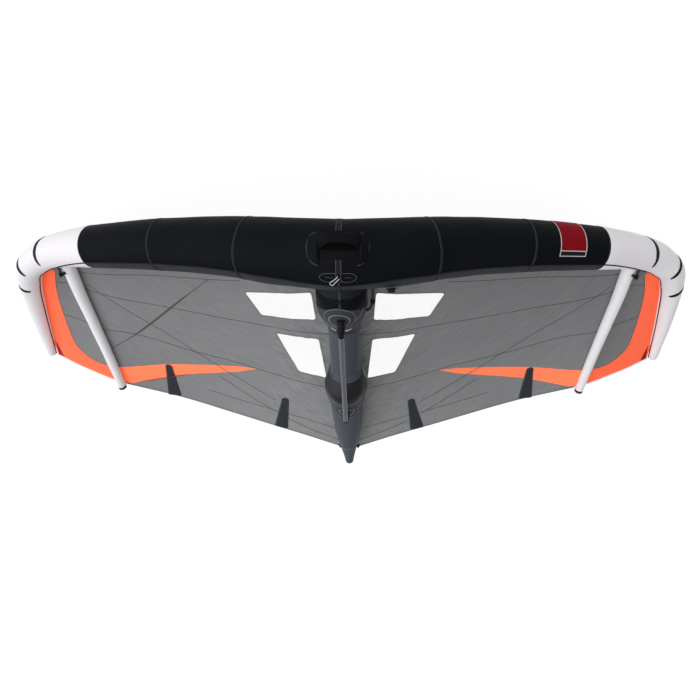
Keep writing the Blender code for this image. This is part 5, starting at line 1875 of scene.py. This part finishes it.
def makeValve():
    d = valveMaking
    base = ((0.0300, 0.0002), (0.0303, 0.0016), (0.0290, 0.0034), (0.0245, 0.0042),
            (0.0195, 0.0052),
            (0.0178, 0.0070), (0.0175, 0.0135), (0.0170, 0.0158))
    body = turnedProfile("valveBody", d["centre"], d["normal"], base)
    modify(body, "BEVEL", width=0.0003, segments=2, limit_method="ANGLE", angle_limit=radians(40))
    settle(body, "blackPlastic", slot="grey_plastic")
    rim = turnedProfile("valveRim", d["centre"], d["normal"],
                        ((0.0305, 0.0001), (0.0322, 0.0006), (0.0322, 0.0018), (0.0303, 0.0026)))
    settle(rim, "greyPlastic", slot="grey_plastic", nodes=("valve_body",))
    top = ((0.0172, 0.0164), (0.0180, 0.0168), (0.0180, 0.0195), (0.0172, 0.0206), (0.0120, 0.0208),
           (0.0110, 0.0202), (0.0004, 0.0200))
    cap = turnedProfile("valveCap", d["centre"], d["normal"], top, 96, (d["ridges"], (1, 2), 0.018))
    settle(cap, "blackPlastic", "valve_cap", "black_plastic", ("valve_cap",))
    line = lineOn(edgeSkin(-1, 0.0004), [(stationOf(0.2471) + 0.02 + 0.22 * cos(radians(t)),
                                          117 + 11.5 * sin(radians(t))) for t in range(0, 360, 24)],
                  0.007, closed=True)
    tape("valvePatchRim", line, 0.0026, 0.0010, "dimThread", "slate_sleeve")


makeValve()


def curveThrough(ends, steps):
    a, b, c, d = ends
    out = []
    for k in range(steps + 1):
        t = k / steps
        out.append(a * (1 - t) ** 3 + b * (3 * (1 - t) ** 2 * t) + c * (3 * (1 - t) * t * t) + d * t ** 3)
    return out


hoseMaking = {"radius": 0.0072, "centreReach": 0.038, "sideReach": 0.046, "collar": 0.0105}


def makeHose(name, start, end, reach, node):
    d = hoseMaking
    (p, n), (q, m) = start, end
    points = curveThrough((p, p + n * reach, q + m * reach, q), 36)
    radii = [1.0] * len(points)
    for k in (0, 1, len(points) - 2, len(points) - 1):
        radii[k] = 1.35
    hose = corded(name, points, d["radius"], around=5, radii=radii)
    settle(hose, "rubber", slot="black_rubber", nodes=(node,))
    middle, along = points[18], (points[19] - points[17]).normalized()
    up = Vector((0, 0, 1))
    profile = [(-0.012, 0.80), (-0.0115, 1.0), (-0.004, 1.0), (-0.003, 0.90), (0.003, 0.90),
               (0.004, 1.0),
               (0.0115, 1.0), (0.012, 0.80)]
    collar = spunOut(f"{name}Collar", [middle + along * h for h, _ in profile],
                     [d["collar"] * r for _, r in profile], 24, up)
    settle(collar, "blackPlastic", slot="black_rubber")


def makeHoses():
    d = hoseMaking
    makeHose("centreHose", edgeSkin(-1, 0.0006)(stationOf(0.158), 153),
             strutSkin(0.0006)(0.232, 171),
             d["centreReach"], "centre_hose")
    for side, hand in hands:
        makeHose(f"{hand}Hose", edgeSkin(side, 0.0006)(stationOf(1.676), 145),
                 sideSkin(side, 0.0006)(0.38, 60), d["sideReach"], f"{hand}_hose")


makeHoses()
print("valve and hoses ready")


# batten pockets
battenPlaces = {"outer": ((0.568, 0.672), (0.5693, 0.7935)),
                "inner": ((0.197, 0.730), (0.2225, 0.8635)),
                "top": 0.044, "foot": 0.088, "high": 0.0050}


def makePockets():
    d = battenPlaces
    for word in ("outer", "inner"):
        for side, hand in hands:
            a, b = (Vector((side * halfSpan * x, nose + chord * y)) for x, y in d[word])
            along = (b - a).normalized()
            across = Vector((along.y, -along.x))
            long = (b - a).length

            def middle(u):
                return a.lerp(b, u)

            def place(u, v):
                share = u ** 1.5
                q = middle(share)
                reach = share * long / (d["top"] / 2)
                wide = lerp(d["top"], d["foot"], share ** 1.15) / 2
                wide *= dome(1 - reach)
                wide = max(wide, 0.0006)
                q = q + across * (wide * (2 * v - 1))
                rise = d["high"] * (1 - abs(2 * v - 1) ** 5) * min(1.0, 0.35 + reach)
                return onCloth(q.x, q.y,
                               0.0012 + rise + 0.0006 * noise.noise(Vector((u * 9, v * 4, side))))
            pocket = sewn(f"battenPocket_{word}_{hand}", 34, 12, place, (long, d["foot"]))
            facing(pocket, upward)
            thicken(pocket, 0.0010)
            settle(pocket, "slateSleeve", slot="black_webbing",
                   nodes=(f"batten_pocket_{word}_{hand}",))
            marks = []
            for k in range(9):
                share = 0.06 + 0.94 * (k / 8)
                wide = lerp(d["top"], d["foot"], share ** 1.15) / 2 - 0.0055
                marks.append((share, wide))
            lines = []
            for way in (1, -1):
                rows = []
                for share, wide in marks:
                    q = middle(share) + across * (wide * way)
                    rows.append((onCloth(q.x, q.y, 0.0012 + d["high"] * 0.75), Vector((0, 0, 1))))
                lines.append(rows)
            stitches(f"battenStitches_{word}_{hand}", lines)


makePockets()


# seams, hem and tabs on the canopy
canopySeams = {
    "wide": 0.0046,
    "thick": 0.0006,
    # distance from the middle and place along the wing, both sides
    "lines": (
        ((1.576, -0.245), (1.158, -0.368), (0.754, -0.449), (0.562, -0.497)),
        ((1.748, -0.095), (1.551, -0.120), (0.847, -0.126), (0.608, -0.132), (0.189, -0.143),
         (0.086, -0.143)),
        ((1.770, 0.174), (1.496, 0.179), (1.304, 0.170), (0.972, 0.240), (0.657, 0.271),
         (0.555, 0.294),
         (0.137, 0.385)),
        ((1.525, -0.169), (1.192, 0.051), (0.840, 0.314), (0.459, 0.581)),
        ((0.895, 0.592), (0.363, 0.714), (0.086, 0.813)),
        ((0.060, 0.945), (0.378, 0.765), (0.806, 0.442)),
    ),
    "rightOnly": ((0.749, -0.448), (1.195, 0.069), (1.50, 0.344)),
    "hem": 0.016,
}


def makeSeams():
    d = canopySeams
    skin = clothSkin(0.0003)
    for side, hand in hands:
        lines = list(d["lines"]) + ([d["rightOnly"]] if side > 0 else [])
        for k, marks in enumerate(lines):
            line = lineOn(skin, [(side * x, y) for x, y in marks], 0.012)
            wide = d["wide"]
            if k == len(d["lines"]):
                def wide(u):
                    return 0.0045 + 0.009 * exp(-((u - 0.5) / 0.28) ** 4)
            tape(f"canopySeam_{hand}_{k}", line, wide, d["thick"], "clothSeam", "canopy_ripstop",
                 rows=2)
        inner = lineOn(skin, [(side * p.x, p.y) for p in trimInner()[::3]], 0.012)
        tape(f"trimSeam_{hand}", inner, 0.0036, d["thick"], "clothSeam", "canopy_ripstop", rows=2)
        # hems along the trailing edge, grey on the canopy and white on the tip
        for word, ends, wide, finish in (("trailing", (0.004, clothPanels["wedgeFoot"]), d["hem"],
                                          "clothHem"),
                                         ("tip", (clothPanels["wedgeFoot"], 0.9655), d["hem"] / 2,
                                          "whiteSleeve")):
            marks = []
            for k in range(30):
                p = trailingPoint(lerp(*ends, k / 29))
                marks.append((side * p.x, p.y - wide / 2 - 0.0012))
            tape(f"{word}Hem_{hand}", lineOn(skin, marks, 0.016), wide, 0.0009, finish,
                 "canopy_ripstop", rows=2)
        # the orange cloth's white edge beside the tip tube
        rim = [(side * (p.x - 0.0075), p.y) for p in edgeRun(9.15, 11.6, 24)]
        tape(f"trimHem_{hand}", lineOn(skin, rim, 0.014), 0.0085, 0.0009, "whiteSleeve",
             "orange_ripstop", rows=2)
        # small black tab at the trailing edge beside the strut
        p = trailingPoint(0.029)
        tab = lineOn(skin, [(side * p.x, p.y - 0.022), (side * p.x, p.y + 0.014)], 0.004)
        tape(f"trailingTab_{hand}", tab, lambda u: lerp(0.036, 0.008, u), 0.0014, "bandBlack",
             "canopy_ripstop")
        for k, word in enumerate(("windowFront", "windowRear")):
            rim = roundCorners(flat(clothPanels[word]), 0.03)
            middle = sum(rim, Vector((0, 0))) / len(rim)
            rim = [(side * (middle.x + (p.x - middle.x) * 1.035),
                    middle.y + (p.y - middle.y) * 1.05) for p in rim]
            line = lineOn(skin, rim, 0.012, closed=True)
            tape(f"windowSeam_{hand}_{k}", line, 0.009, d["thick"], "clothHem", "canopy_ripstop",
                 rows=2)
        # dark red corner by the tip
        corner = flat(((0.9395, 0.7405), (0.9600, 0.7440), (0.9560, 0.6960)))
        piece, area = clothPanel(f"tipCorner_{hand}", turnedOut(corner, side), pitch=0.012,
                                 lift=0.0009,
                                 wrinkled=False)
        settle(piece, "redPrint", slot="orange_ripstop")
        max(area, 0.00166)


makeSeams()
print("canopy seams ready")


# finishes of the frame's own pieces that stay in view
keptFinishes = {"batten_": "glassRod", "centre_clamp": "blackPlastic", "left_clamp": "blackPlastic",
                "right_clamp": "blackPlastic"}
for nodeName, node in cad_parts.items():
    for start, finish in keptFinishes.items():
        if nodeName.startswith(start) and not node.hide_render:
            for place in node.material_slots:
                place.material = finishes[finish]
print("kept pieces finished")
